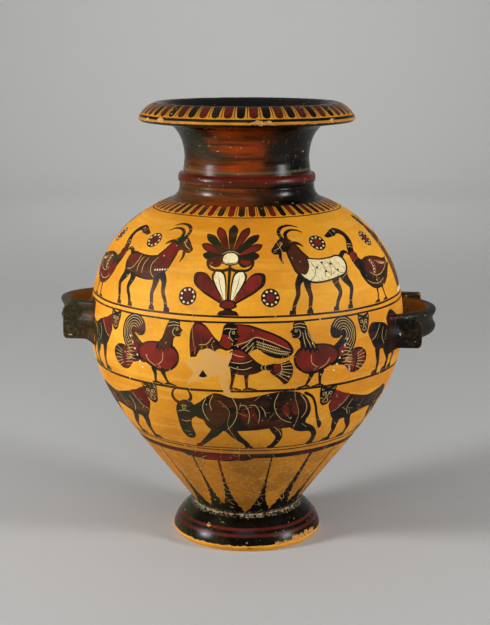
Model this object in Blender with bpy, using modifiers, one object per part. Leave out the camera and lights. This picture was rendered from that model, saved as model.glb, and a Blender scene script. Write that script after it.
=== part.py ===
import bpy
import bmesh
from math import acos, cos, hypot, pi, radians, sin, sqrt
from mathutils import Matrix, Vector

# Sizes are in metres. The jar stands on its foot at the origin, +Z up, with the side handles
# along X and the pouring handle at the back, along +Y.

# Foot, a low round moulding over a hollow underside
foot_height = 0.0278
foot_radius = 0.0668
foot_widest_height = 0.0040
foot_rest_radius = 0.0636
foot_rest_width = 0.0110
foot_recess_height = 0.0230
stem_radius = 0.0467

# Body
body_height = 0.2737
belly_height = 0.1650
belly_radius = 0.1380
shoulder_radius = 0.0690
foot_slope = radians(35)
shoulder_slope = radians(24)
lower_roundness = 0.0780
belly_roundness = 0.0600
shoulder_roundness = 0.0780
wall = 0.0052
floor_thickness = 0.0075

# Neck, with a raised ring above its root
neck_height = 0.0642
neck_radius = 0.0540
neck_waist_height = 0.0350
neck_root_radius = 0.0587
neck_top_radius = 0.0655
neck_wall = 0.0056
ring_height = 0.0190
ring_width = 0.0085
ring_radius = 0.0598
ring_sink = 0.0008
root_flare_height = 0.0130

# Mouth, a flat spreading lip
lip_height = 0.0193
lip_radius = 0.0935
mouth_radius = 0.0780
lip_edge_height = 0.0046
lip_edge_rise = 0.0033
rim_width = 0.0026
funnel_depth = 0.0150

# Side handles, each a round strap bowed out from the body, with a plate against each arm of it
plate_length = 0.0158
plate_thickness = 0.0080
plate_spacing = 0.0985
low_corner_radius = 0.0042
near_corner_cut = 0.0046
far_corner_cut = 0.0014
root_rise = 0.0055
root_swell = 0.0030
root_length = 0.0075
strap_overhang = 0.0126
strap_radius = 0.0610
strap_height = 0.0235
strap_thickness = 0.0060
strap_hollow = 0.0026
right_plate_height = 0.0247
right_plate_rise = 0.0046
right_plate_roll = radians(2.0)
right_strap_rise = 0.0057
right_strap_roll = radians(-2.4)
left_plate_height = 0.0310
left_plate_rise = 0.0039
left_plate_roll = radians(3.5)
left_strap_rise = 0.0099
left_strap_roll = radians(4.2)

# Pouring handle at the back
back_width = 0.0320
back_thickness = 0.0100
back_top_clearance = 0.0130
back_shoulder_radius = 0.1030
back_bow = 0.0360
back_shoulder_bow = 0.0420

turn_steps = 56
strap_steps = 15
back_steps = 12
merge_distance = 0.00002


def clear_scene():
    for item in list(bpy.data.objects):
        bpy.data.objects.remove(item, do_unlink=True)


def make_collection(name):
    collection = bpy.data.collections.new(name)
    bpy.context.scene.collection.children.link(collection)
    return collection


def make_material(name, colour, roughness, metallic):
    material = bpy.data.materials.new(name)
    material.use_nodes = True
    shader = material.node_tree.nodes["Principled BSDF"]
    shader.inputs["Base Color"].default_value = (*colour, 1.0)
    shader.inputs["Roughness"].default_value = roughness
    shader.inputs["Metallic"].default_value = metallic
    return material


def bezier(start, start_pull, end_pull, end, count):
    """Points of a cubic curve, both ends included, each as (radius, height)."""
    points = []
    for i in range(count + 1):
        t = i / count
        s = 1 - t
        weights = (s ** 3, 3 * s * s * t, 3 * s * t * t, t ** 3)
        corners = (start, start_pull, end_pull, end)
        points.append(tuple(sum(w * c[k] for w, c in zip(weights, corners)) for k in (0, 1)))
    return points


def arc(centre, radius_x, radius_z, first, last, count):
    """Points of an elliptical arc from one angle to another, both ends included."""
    points = []
    for i in range(count + 1):
        angle = first + (last - first) * i / count
        points.append((centre[0] + radius_x * cos(angle), centre[1] + radius_z * sin(angle)))
    return points


body_base = foot_height
body_top = foot_height + body_height
neck_top = body_top + neck_height
mouth_top = neck_top + lip_height
belly_level = body_base + belly_height
plate_reach = belly_radius + plate_length
strap_reach = plate_reach + strap_overhang


def lower_body_curve(count):
    """Outline from the belly down to the foot."""
    belly = (belly_radius, belly_level)
    foot = (stem_radius, body_base)
    pull = (foot[0] + lower_roundness * sin(foot_slope), foot[1] + lower_roundness * cos(foot_slope))
    return bezier(belly, (belly_radius, belly_level - belly_roundness), pull, foot, count)


def shoulder_curve(count):
    """Outline from the root of the neck down to the belly."""
    top = (shoulder_radius, body_top)
    run = shoulder_radius * 0.3
    pull = (top[0] + run * cos(shoulder_slope), top[1] - run * sin(shoulder_slope))
    return bezier(top, pull, (belly_radius, belly_level + shoulder_roundness),
                  (belly_radius, belly_level), count)


def body_outline(count=200):
    return shoulder_curve(count) + lower_body_curve(count)[1:]


def radius_at(height, outline):
    """Outer radius of an outline that runs downwards, at a height."""
    for upper, lower in zip(outline, outline[1:]):
        if lower[1] <= height <= upper[1]:
            share = (upper[1] - height) / max(upper[1] - lower[1], 1e-9)
            return upper[0] + (lower[0] - upper[0]) * share
    return outline[0][0] if height > outline[0][1] else outline[-1][0]


def height_and_normal_at(radius, outline):
    """Height and outward normal on the shoulder, where the outline first reaches a radius."""
    for upper, lower in zip(outline, outline[1:]):
        if upper[0] <= radius <= lower[0]:
            share = (radius - upper[0]) / max(lower[0] - upper[0], 1e-9)
            step = (lower[0] - upper[0], lower[1] - upper[1])
            length = hypot(*step)
            return upper[1] + step[1] * share, (-step[1] / length, step[0] / length)
    return outline[0][1], (0.0, 1.0)


def inset(points, distance):
    """The same outline moved inwards along its own normals."""
    moved = []
    for i, point in enumerate(points):
        before = points[max(i - 1, 0)]
        after = points[min(i + 1, len(points) - 1)]
        step = (after[0] - before[0], after[1] - before[1])
        length = hypot(*step)
        moved.append((point[0] + step[1] / length * distance, point[1] - step[0] / length * distance))
    return moved


def mouth_outline():
    """Inner edge of the mouth, over the lip and under it to the neck."""
    edge_middle = neck_top + lip_edge_rise + lip_edge_height / 2
    edge_top = (lip_radius - lip_edge_height * 0.2, edge_middle + lip_edge_height / 2)
    flank_drop = mouth_top - edge_top[1]
    flank_run = edge_top[0] - mouth_radius
    flank_pull = (mouth_radius + flank_run * 0.45, mouth_top - flank_drop * 0.12)
    edge_pull = (edge_top[0] - flank_run * 0.12, edge_top[1] + flank_drop * 0.35)
    flank = bezier((mouth_radius, mouth_top), flank_pull, edge_pull, edge_top, 4)
    edge_base = (lip_radius - lip_edge_height * 0.5, edge_middle - lip_edge_height / 2)
    edge = [(lip_radius, edge_middle), edge_base]
    return [(mouth_radius - rim_width, mouth_top - rim_width * 0.35)] + flank + edge


def neck_outline():
    """Neck from the lip down to the shoulder, with its raised ring."""
    waist_level = body_top + neck_waist_height
    ring_top = body_top + ring_height + ring_width / 2
    ring_base = body_top + ring_height - ring_width / 2
    rise = neck_top - waist_level
    fall = waist_level - ring_top
    top_pull = (neck_radius + (neck_top_radius - neck_radius) * 0.28, neck_top - rise * 0.22)
    waist_pull = (neck_radius, waist_level + rise * 0.4)
    upper = bezier((neck_top_radius, neck_top), top_pull, waist_pull, (neck_radius, waist_level), 5)
    groove = [(neck_radius + (neck_root_radius - neck_radius) * 0.3, ring_top + fall * 0.05)]
    ring_bed = neck_root_radius - ring_sink
    ring = arc((ring_bed, (ring_top + ring_base) / 2), ring_radius - ring_bed, ring_width / 2,
               pi / 2, -pi / 2, 4)
    flare_run = shoulder_radius - neck_root_radius
    root_pull = (neck_root_radius - flare_run * 0.06, body_top + root_flare_height * 0.5)
    flare_pull = (neck_root_radius + flare_run * 0.25, body_top + root_flare_height * 0.2)
    flare = bezier((neck_root_radius, ring_base), root_pull, flare_pull, (shoulder_radius, body_top), 4)
    return upper + groove + ring + flare[1:-1]


def foot_outline():
    """Foot from the body down to its resting face, and up into the hollow underside."""
    rise = foot_height - foot_widest_height
    run = foot_radius - stem_radius
    top = (stem_radius + run * 0.05, body_base - rise * 0.06)
    top_pull = (stem_radius + run * 0.46, body_base - rise * 0.11)
    side_pull = (foot_radius - run * 0.08, foot_widest_height + rise * 0.42)
    upper = bezier(top, top_pull, side_pull, (foot_radius, foot_widest_height), 5)
    bottom = [(foot_rest_radius, 0.0), (foot_rest_radius - foot_rest_width, 0.0)]
    inner = foot_rest_radius - foot_rest_width
    hollow = [(inner * 0.86, foot_recess_height * 0.62), (inner * 0.5, foot_recess_height * 0.94),
              (0.0, foot_recess_height)]
    return upper + bottom + hollow


def inner_outline():
    """Inside of the jar, from the middle of the floor up to the mouth."""
    floor_level = body_base + floor_thickness
    body = inset(shoulder_curve(6) + lower_body_curve(7)[1:], wall)
    body = [point for point in body if point[1] > floor_level + wall]
    throat = neck_root_radius - neck_wall
    waist_level = body_top + neck_waist_height
    neck_inside = [(mouth_radius - rim_width - neck_wall * 0.3, mouth_top - rim_width),
                   (neck_radius, mouth_top - funnel_depth),
                   (neck_radius - neck_wall * 0.8, neck_top - neck_height * 0.18),
                   (neck_radius - neck_wall, waist_level),
                   (throat, body_top + ring_height - ring_width),
                   (throat + (shoulder_radius - throat) * 0.35, body_top - wall * 0.55)]
    body = [point for point in body if point[1] < body_top - wall * 1.2]
    corner = body[-1]
    floor = [(corner[0] - floor_thickness, floor_level + wall * 0.15), (0.0, floor_level)]
    return list(reversed(neck_inside + body + floor))


def turned_jar(collection, material):
    """Wall of the jar as one profile, from the floor inside, over the lip and down to the underside."""
    body = shoulder_curve(8) + lower_body_curve(9)[1:]
    outline = inner_outline() + mouth_outline() + neck_outline() + body + foot_outline()
    mesh = bpy.data.meshes.new("hydria")
    vertices = [(radius, 0.0, height) for radius, height in outline]
    edges = [(i, i + 1) for i in range(len(vertices) - 1)]
    mesh.from_pydata(vertices, edges, [])
    jar = bpy.data.objects.new("hydria", mesh)
    collection.objects.link(jar)
    jar.data.materials.append(material)
    screw = jar.modifiers.new("turning", "SCREW")
    screw.axis = "Z"
    screw.angle = 2 * pi
    screw.steps = turn_steps
    screw.render_steps = turn_steps
    screw.use_merge_vertices = True
    screw.merge_threshold = merge_distance
    screw.use_smooth_shade = True
    return jar


def loft(name, sections, collection, material):
    """A closed solid through sections of equal point count, with a flat cap at each end."""
    shape = bmesh.new()
    rings = [[shape.verts.new(point) for point in section] for section in sections]
    count = len(rings[0])
    for ring, following in zip(rings, rings[1:]):
        for i in range(count):
            j = (i + 1) % count
            shape.faces.new((ring[i], ring[j], following[j], following[i]))
    shape.faces.new(reversed(rings[0]))
    shape.faces.new(rings[-1])
    bmesh.ops.recalc_face_normals(shape, faces=shape.faces)
    mesh = bpy.data.meshes.new(name)
    shape.to_mesh(mesh)
    shape.free()
    solid = bpy.data.objects.new(name, mesh)
    collection.objects.link(solid)
    solid.data.materials.append(material)
    return solid


def strap_section(angle, end_angle, turning_centre, strap_centre):
    """One cross-section of a side handle's strap: a beaded rim, a hollow face and a rounded foot."""
    half = strap_thickness / 2
    swell = strap_hollow * (1 - 0.5 * (angle / end_angle) ** 4)
    bead = [(-half, -0.12), (-half * 0.4, -0.02), (half * 0.5, 0.0), (half + swell * 0.7, -0.05),
            (half + swell, -0.14), (half + swell * 0.7, -0.25)]
    face = [(half, -0.37), (half, -0.52), (half + swell, -0.72)]
    foot = [(half + swell * 0.6, -0.88), (half * 0.5, -1.0), (-half * 0.5, -0.99), (-half, -0.86)]
    top = strap_centre + strap_height / 2
    section = []
    for offset, drop in bead + face + foot:
        radius = strap_radius + offset
        level = top + drop * strap_height
        section.append(Vector((turning_centre + radius * cos(angle), radius * sin(angle), level)))
    return section


def side_strap(name, strap_centre, collection, material):
    """Strap bowed out from the body, both of its ends set into the wall."""
    turning_centre = strap_reach - strap_hollow - strap_thickness / 2 - strap_radius
    outline = body_outline()
    root = radius_at(strap_centre, outline) - wall / 2
    root_run = (root ** 2 - strap_radius ** 2 + turning_centre ** 2) / (2 * turning_centre)
    end_angle = acos((root_run - turning_centre) / strap_radius)
    sections = []
    for i in range(strap_steps + 1):
        angle = -end_angle + 2 * end_angle * i / strap_steps
        section = strap_section(angle, end_angle, turning_centre, strap_centre)
        if i in (0, strap_steps):
            for point in section:
                point.x = sqrt((radius_at(point.z, outline) - wall / 2) ** 2 - point.y ** 2)
        sections.append(section)
    return loft(name, sections, collection, material)


def side_plate(name, side, corner_cut, plate_height, plate_centre, collection, material):
    """Upright plate from inside the body's wall, smoothed into it, out to its square end."""
    outline = body_outline()
    shape = bmesh.new()
    bmesh.ops.create_cube(shape, size=1.0)
    lengthwise = [edge for edge in shape.edges if abs(edge.verts[0].co.x - edge.verts[1].co.x) > 0.5]
    bmesh.ops.subdivide_edges(shape, edges=lengthwise, cuts=3, use_grid_fill=True)
    stations = [(-wall / 2, 1.0), (root_length * 0.05, 1.0), (root_length * 0.35, 0.35), (root_length, 0.0)]
    for vertex in shape.verts:
        station = round((vertex.co.x + 0.5) * 4)
        out, spread = stations[station] if station < 4 else (0.0, 0.0)
        thickness = plate_thickness + spread * root_swell * 2
        across = side * plate_spacing / 2 + vertex.co.y * thickness
        level = plate_centre + vertex.co.z * (plate_height + spread * root_rise * 2)
        root = sqrt((radius_at(level, outline) + out) ** 2 - across ** 2)
        vertex.co = Vector((plate_reach if station == 4 else root, across, level))
    end = [vertex for vertex in shape.verts if vertex.co.x > plate_reach - merge_distance]
    corners = [edge for edge in shape.edges
               if all(v in end for v in edge.verts) and abs(edge.verts[0].co.z - edge.verts[1].co.z) < 1e-6]
    low = [edge for edge in corners if edge.verts[0].co.z < plate_centre]
    high = [edge for edge in corners if edge.verts[0].co.z > plate_centre]
    bmesh.ops.bevel(shape, geom=low, offset=low_corner_radius, segments=3, profile=0.5, affect="EDGES")
    bmesh.ops.bevel(shape, geom=high, offset=corner_cut, segments=1, profile=0.5, affect="EDGES")
    bmesh.ops.recalc_face_normals(shape, faces=shape.faces)
    mesh = bpy.data.meshes.new(name)
    shape.to_mesh(mesh)
    shape.free()
    solid = bpy.data.objects.new(name, mesh)
    collection.objects.link(solid)
    solid.data.materials.append(material)
    return solid


def rolled_and_turned(level, roll, turn):
    """Rolls a form about the radius through a height, then turns it to its side of the jar."""
    rolled = Matrix.Translation((0, 0, level)) @ Matrix.Rotation(roll, 4, "X")
    return Matrix.Rotation(turn, 4, "Z") @ rolled @ Matrix.Translation((0, 0, -level))


def side_handle(name, turn, front, plate, strap, collection, material):
    """A strap and two plates, each given as sizes and a roll; front is the side that faces -Y."""
    plate_height, plate_rise, plate_roll = plate
    strap_rise, strap_roll = strap
    strap_centre = belly_level + strap_rise
    plate_centre = belly_level + plate_rise
    bow = side_strap(name + "_strap", strap_centre, collection, material)
    bow.data.transform(rolled_and_turned(strap_centre, strap_roll, turn))
    pieces = [bow]
    for word, side, corner_cut in (("near", front, near_corner_cut), ("far", -front, far_corner_cut)):
        upright = side_plate(name + "_" + word + "_plate", side, corner_cut, plate_height, plate_centre,
                             collection, material)
        upright.data.transform(rolled_and_turned(plate_centre, plate_roll, turn))
        pieces.append(upright)
    return pieces


def back_handle(collection, material):
    """Broad strap that leaves the shoulder square to it and bows in to the neck under the lip."""
    shoulder = body_outline()
    start_level, normal = height_and_normal_at(back_shoulder_radius, shoulder)
    start = Vector((back_shoulder_radius - normal[0] * wall / 2, start_level - normal[1] * wall / 2))
    end_level = neck_top - back_top_clearance
    end = Vector((radius_at(end_level, neck_outline()) - neck_wall / 2, end_level))
    out = Vector(normal) * (back_shoulder_bow + wall / 2)
    path = bezier(start, start + out, end + Vector((back_bow + neck_wall / 2, 0.0)), end, back_steps)
    sections = []
    half_width = back_width / 2
    half_thickness = back_thickness / 2
    for i, point in enumerate(path):
        before = Vector(path[max(i - 1, 0)])
        after = Vector(path[min(i + 1, back_steps)])
        along = Vector((out if i == 0 else (after - before)))
        if i == back_steps:
            along = Vector((-1.0, 0.0))
        along.normalize()
        across = Vector((along.y, -along.x))
        section = []
        for k in range(10):
            angle = 2 * pi * k / 10
            spread = abs(cos(angle)) ** 0.5 * (1 if cos(angle) > 0 else -1)
            depth = abs(sin(angle)) ** 0.8 * (1 if sin(angle) > 0 else -1)
            radial = Vector(point) + across * depth * half_thickness
            section.append(Vector((spread * half_width, radial.x, radial.y)))
        sections.append(section)
    return loft("back_handle", sections, collection, material)


def join_to(jar, additions):
    """Unites the clay of each handle with the jar, so the whole is one fired piece."""
    for piece in additions:
        union = jar.modifiers.new(piece.name, "BOOLEAN")
        union.operation = "UNION"
        union.solver = "EXACT"
        union.object = piece
        piece.hide_render = True
        piece.display_type = "WIRE"


def build():
    clear_scene()
    parts = make_collection("hydria")
    handles = make_collection("handle_forms")
    clay = make_material("painted_terracotta", (0.62, 0.27, 0.06), 0.38, 0.0)
    jar = turned_jar(parts, clay)
    right_plate = (right_plate_height, right_plate_rise, right_plate_roll)
    left_plate = (left_plate_height, left_plate_rise, left_plate_roll)
    pieces = side_handle("right_handle", 0.0, -1, right_plate, (right_strap_rise, right_strap_roll),
                         handles, clay)
    pieces += side_handle("left_handle", pi, 1, left_plate, (left_strap_rise, left_strap_roll),
                          handles, clay)
    pieces.append(back_handle(handles, clay))
    join_to(jar, pieces)


build()
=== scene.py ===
from math import acos, atan2, ceil, cos, floor, hypot, pi, radians, sin, sqrt

import bpy
import numpy as np
from mathutils import Matrix, Vector
from mathutils.geometry import delaunay_2d_cdt


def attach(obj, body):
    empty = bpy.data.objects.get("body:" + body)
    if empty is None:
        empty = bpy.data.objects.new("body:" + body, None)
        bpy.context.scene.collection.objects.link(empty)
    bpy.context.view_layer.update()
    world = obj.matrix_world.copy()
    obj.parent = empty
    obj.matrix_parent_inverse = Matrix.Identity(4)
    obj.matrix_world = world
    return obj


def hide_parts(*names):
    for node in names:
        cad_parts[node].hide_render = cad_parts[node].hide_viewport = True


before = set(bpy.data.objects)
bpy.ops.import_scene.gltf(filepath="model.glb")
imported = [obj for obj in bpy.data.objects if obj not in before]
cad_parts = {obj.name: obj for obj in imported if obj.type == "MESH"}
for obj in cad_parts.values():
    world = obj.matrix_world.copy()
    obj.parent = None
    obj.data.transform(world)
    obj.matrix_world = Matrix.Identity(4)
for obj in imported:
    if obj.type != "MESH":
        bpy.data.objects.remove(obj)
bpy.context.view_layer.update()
bpy.ops.object.select_all(action="DESELECT")


# The turned wall: body, neck, lip and foot thrown on the wheel in orange clay and joined while soft.
# Its outline runs from the mouth's inner rim down the outside to the resting edge of the foot.
foot_height = 0.0278
foot_radius = 0.0668
foot_widest_height = 0.0040
foot_rest_radius = 0.0636
foot_rest_width = 0.0110
foot_recess_height = 0.0230
stem_radius = 0.0467
body_height = 0.2737
belly_height = 0.1650
belly_radius = 0.1380
shoulder_radius = 0.0690
foot_slope = radians(35)
shoulder_slope = radians(24)
lower_roundness = 0.0780
belly_roundness = 0.0600
shoulder_roundness = 0.0780
wall = 0.0052
floor_thickness = 0.0075
neck_height = 0.0642
neck_radius = 0.0540
neck_waist_height = 0.0350
neck_root_radius = 0.0587
neck_top_radius = 0.0655
neck_wall = 0.0056
ring_height = 0.0190
ring_width = 0.0085
ring_radius = 0.0598
ring_sink = 0.0008
root_flare_height = 0.0130
lip_height = 0.0193
lip_radius = 0.0935
mouth_radius = 0.0780
lip_edge_height = 0.0046
lip_edge_rise = 0.0033
rim_width = 0.0026
funnel_depth = 0.0150

body_top = foot_height + body_height
neck_top = body_top + neck_height
mouth_top = neck_top + lip_height
belly_level = foot_height + belly_height


def bezier(start, start_pull, end_pull, end, count=24):
    """Points of a cubic curve, both ends included, each as (radius, height)."""
    t = np.linspace(0, 1, count + 1)[:, None]
    s = 1 - t
    start, start_pull, end_pull, end = (np.array(p) for p in (start, start_pull, end_pull, end))
    return s ** 3 * start + 3 * s * s * t * start_pull + 3 * s * t * t * end_pull + t ** 3 * end


def lip_outline():
    edge_middle = neck_top + lip_edge_rise + lip_edge_height / 2
    edge_top = (lip_radius - lip_edge_height * 0.2, edge_middle + lip_edge_height / 2)
    edge_base = (lip_radius - lip_edge_height * 0.5, edge_middle - lip_edge_height / 2)
    drop = mouth_top - edge_top[1]
    run = edge_top[0] - mouth_radius
    flank = bezier((mouth_radius, mouth_top), (mouth_radius + run * 0.45, mouth_top - drop * 0.12),
                   (edge_top[0] - run * 0.12, edge_top[1] + drop * 0.35), edge_top)
    rim = [(mouth_radius - rim_width, mouth_top - rim_width * 0.35)]
    return np.vstack([rim, flank, [(lip_radius, edge_middle), edge_base]])


def neck_outline():
    waist_level = body_top + neck_waist_height
    ring_top = body_top + ring_height + ring_width / 2
    ring_base = body_top + ring_height - ring_width / 2
    rise = neck_top - waist_level
    upper = bezier((neck_top_radius, neck_top),
                   (neck_radius + (neck_top_radius - neck_radius) * 0.28, neck_top - rise * 0.22),
                   (neck_radius, waist_level + rise * 0.4), (neck_radius, waist_level))
    groove = (neck_radius + (neck_root_radius - neck_radius) * 0.3,
              ring_top + (waist_level - ring_top) * 0.05)
    bed = neck_root_radius - ring_sink
    turn = np.linspace(pi / 2, -pi / 2, 13)[:, None]
    ring = np.hstack([bed + (ring_radius - bed) * np.cos(turn),
                      (ring_top + ring_base) / 2 + ring_width / 2 * np.sin(turn)])
    run = shoulder_radius - neck_root_radius
    flare = bezier((neck_root_radius, ring_base),
                   (neck_root_radius - run * 0.06, body_top + root_flare_height * 0.5),
                   (neck_root_radius + run * 0.25, body_top + root_flare_height * 0.2),
                   (shoulder_radius, body_top))
    return np.vstack([upper, [groove], ring, flare[1:-1]])


body_steps = 120    # from the neck's root to the belly, and again to the foot


def body_outline():
    run = shoulder_radius * 0.3
    belly = (belly_radius, belly_level)
    shoulder = bezier((shoulder_radius, body_top),
                      (shoulder_radius + run * cos(shoulder_slope), body_top - run * sin(shoulder_slope)),
                      (belly_radius, belly_level + shoulder_roundness), belly, body_steps)
    pull = (stem_radius + lower_roundness * sin(foot_slope), foot_height + lower_roundness * cos(foot_slope))
    lower = bezier(belly, (belly_radius, belly_level - belly_roundness), pull, (stem_radius, foot_height),
                   body_steps)
    return np.vstack([shoulder, lower[1:]])


def foot_outline():
    rise = foot_height - foot_widest_height
    run = foot_radius - stem_radius
    side = bezier((stem_radius + run * 0.05, foot_height - rise * 0.06),
                  (stem_radius + run * 0.46, foot_height - rise * 0.11),
                  (foot_radius - run * 0.08, foot_widest_height + rise * 0.42),
                  (foot_radius, foot_widest_height))
    return np.vstack([side, [(foot_rest_radius, 0.0)]])


outline = np.vstack([lip_outline(), neck_outline(), body_outline(), foot_outline()])
down = np.r_[0, np.cumsum(np.hypot(*np.diff(outline, axis=0).T))] * 1000
root = down[np.flatnonzero((outline == (shoulder_radius, body_top)).all(axis=1))[0]]
down = np.round(down - root, 3)    # millimetres along the wall, down from the root of the neck
chart_radius = 110.0    # millimetres; the wall is unrolled at this radius while it is painted


def radius_at(level):
    """Radius in millimetres at a place down the wall."""
    return np.interp(level, down, outline[:, 0]) * 1000


def level_of(height, upper, lower):
    """Place down the wall of a height in metres, looked for between two places."""
    part = (down >= upper) & (down <= lower)
    return float(np.interp(-height, -outline[part, 1], down[part]))


# The decoration: figures and bands painted in black slip, with added red and cream and lines
# scratched through to the clay. Each is an area of the unrolled wall; a later one covers earlier ones.
painted = []    # (colour, points as (place round the wall, place down the wall)), in millimetres
drawing = []    # the figure being drawn, in its own millimetres, +y up from the ground line


def points_of(text):
    """Rows of numbers from 'x,y x,y ...'. A point that ends in ! is a corner."""
    rows = [[float(n) for n in word.rstrip("!").split(",")] for word in text.split()]
    return np.array(rows), [word.endswith("!") for word in text.split()]


def smooth(points, corner, closed):
    """A curve through the points, straight into and out of the corners."""
    points = np.asarray(points, float)
    count = len(points)
    before, after = np.roll(points, 1, axis=0), np.roll(points, -1, axis=0)
    near = np.maximum(np.hypot(*(points - before)[:, :2].T), 1e-6)[:, None]
    far = np.maximum(np.hypot(*(after - points)[:, :2].T), 1e-6)[:, None]
    into, out = (points - before) / near, (after - points) / far
    pull = (into * far + out * near) / (near + far)
    if not closed:
        corner = list(corner)
        corner[0] = corner[-1] = True
    sharp = np.array(corner)[:, None]
    leave, arrive = np.where(sharp, out, pull), np.where(sharp, into, pull)
    curve = []
    for i in range(count if closed else count - 1):
        j = (i + 1) % count
        length = far[i]
        bend = np.hypot(*(leave[i] - arrive[j])[:2]) + np.hypot(*(leave[i] - out[i])[:2])
        steps = int(np.clip(ceil(sqrt(float(length[0]) * bend) * 1.6), 1, 7))
        t = (np.arange(steps) / steps)[:, None]
        curve.append(points[i] * (2 * t ** 3 - 3 * t ** 2 + 1) + points[j] * (3 * t ** 2 - 2 * t ** 3)
                     + leave[i] * length * (t ** 3 - 2 * t ** 2 + t) + arrive[j] * length * (t ** 3 - t ** 2))
    if not closed:
        curve.append(points[-1:])
    return np.vstack(curve)


def area(colour, text):
    """A closed area with a smooth edge."""
    points, corner = points_of(text)
    drawing.append((colour, smooth(points, corner, True)))


def stroke_edge(line, widths):
    """The closed edge of a brush stroke along a line."""
    along = np.gradient(line, axis=0)
    along /= np.maximum(np.hypot(*along.T), 1e-9)[:, None]
    side = np.c_[-along[:, 1], along[:, 0]] * widths[:, None] / 2
    tip, tail = along[-1] * widths[-1] * 0.4, along[0] * widths[0] * 0.4
    return np.vstack([line + side, [line[-1] + tip], (line - side)[::-1], [line[0] - tail]])


def limb(colour, text):
    """A brush stroke that swells and thins, from 'x,y,width ...'."""
    points, corner = points_of(text)
    path = smooth(points, corner, False)
    drawing.append((colour, stroke_edge(path[:, :2], path[:, 2])))


def cut(*texts, width=0.5, colour="incised"):
    """Fine lines scratched through the slip."""
    for text in texts:
        points, corner = points_of(text)
        path = smooth(points, corner, False)
        widths = np.full(len(path), width)
        widths[[0, -1]] = width * 0.5
        drawing.append((colour, stroke_edge(path, widths)))


def dot(colour, x, y, radius, sides=9):
    turn = np.arange(sides) * 2 * pi / sides
    drawing.append((colour, np.c_[x + radius * np.cos(turn), y + radius * np.sin(turn)]))


def ring(x, y, radius):
    """A small scratched circle, as for an eye."""
    turn = np.linspace(0.2, 2 * pi - 0.2, 10)
    line = np.c_[x + radius * np.cos(turn), y + radius * np.sin(turn)]
    drawing.append(("incised", stroke_edge(line, np.full(len(line), 0.45))))


def fan(x, y, first, last, reach, count, inner):
    """Fine scratched lines that spread from a point, as feathers do, from an inner share of their reach."""
    for i in range(count):
        angle = radians(first + (last - first) * i / (count - 1))
        ends = [(x + reach * share * cos(angle), y + reach * share * sin(angle)) for share in (inner, 1.0)]
        drawing.append(("incised", stroke_edge(np.array(ends), np.array([0.5, 0.3]))))


def place(figure, angle, ground, size=1.0, turned=False, **choices):
    """Paints a figure round the wall at an angle from the front, its feet on a ground line."""
    drawing.clear()
    angle = (angle + 180) % 360 - 180
    figure(**choices)
    for colour, points in drawing:
        level = ground - points[:, 1] * size
        sideways = points[:, 0] * size * (-1 if turned else 1)
        turn = radians(angle) + sideways / radius_at(level)
        painted.append((colour, np.c_[turn * chart_radius, level]))


def band(colour, upper, lower, wander=0.0, first=-180.0, last=180.0):
    """A band or line painted while the jar turned, with a hand's slight wander."""
    turn = np.radians(np.linspace(first, last, int((last - first) / 2) + 1))
    drift = wander * (np.sin(turn * 3 + upper) + 0.6 * np.sin(turn * 8 + 2.1 * upper)
                      + 0.4 * np.sin(turn * 19))
    top = np.c_[turn * chart_radius, upper + drift]
    thick = 0.35 * wander * np.sin(turn * 13 + lower)
    base = np.c_[turn * chart_radius, lower + drift + thick]
    painted.append((colour, np.vstack([top, base[::-1]])))


# Bands: a black neck with a red ring, tongues on the lip and round the neck's root, double lines
# over the belly, a line under each frieze, rays over the foot, and two red lines on a black foot.
lip_tongues = 54
shoulder_tongues = 56
front_rays = (    # angle from the front, width of the stem, colour of its top
    (-42, 2.4, "slip"), (-21.7, 2.8, "slip"), (-8, 3.2, "red"), (18.7, 2.4, "slip"), (40, 6.2, "slip"),
    (56.5, 2.8, "slip"))
hidden_rays = [(angle + i * step, 2.6, "slip") for angle, step in ((73, 15.6), (-63.4, -17.2))
               for i in range(7)]
front_ray_foot, hidden_ray_foot = 25.0, 17.0
tongue_top, tongue_base = -125.6, -110.9
lip_line = (-110.0, -107.5)
lip_edge_clay = -105.2
neck_red = (-33.6, -24.6)
neck_base = -2.6
shoulder_tongue_base = 12.6
shoulder_line = (13.4, 14.6)
belly_lines = ((105.2, 106.9), (109.6, 111.2))
frieze_line = (165.9, 168.0)
ray_fine_lines = ((229.6, 230.8), (232.6, 234.0))
ray_line = (238.2, 244.2)
ray_drips = 249.0
foot_joint = 329.2
foot_red_lines = ((345.0, 347.6), (350.8, 353.6))
foot_edge_clay = 360.8


def tongue(colour, width, length, outline_gap):
    half = width / 2
    area("slip", f"{-half},{length}! {-half * 0.96},{length * 0.45} {-half * 0.7},1 0,0 {half * 0.7},1 "
         f"{half * 0.96},{length * 0.45} {half},{length}!")
    if colour == "red":
        inner = half - outline_gap
        area("red", f"{-inner},{length}! {-inner * 0.94},{length * 0.45} {-inner * 0.66},1.5 0,0.7 "
             f"{inner * 0.66},1.5 {inner * 0.94},{length * 0.45} {inner},{length}!")


def gap_line(length, width):
    """The fine brown line in the clay between two tongues."""
    limb("brown", f"0,0.6,{width * 0.6} 0,{length * 0.5},{width} 0,{length},{width}")


def ring_of_tongues(count, base, length, widths, outline_gap, gap_width):
    """A ring of tongues, black and red in turn, with a fine line in each gap."""
    for i in range(count):
        place(tongue, (i + 0.5) * 360 / count, base, colour=("slip", "red")[i % 2], width=widths[i % 2],
              length=length, outline_gap=outline_gap)
        if 2 * i != count:    # none where the unrolled wall is cut
            place(gap_line, i * 360 / count, base, length=length, width=gap_width)


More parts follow.
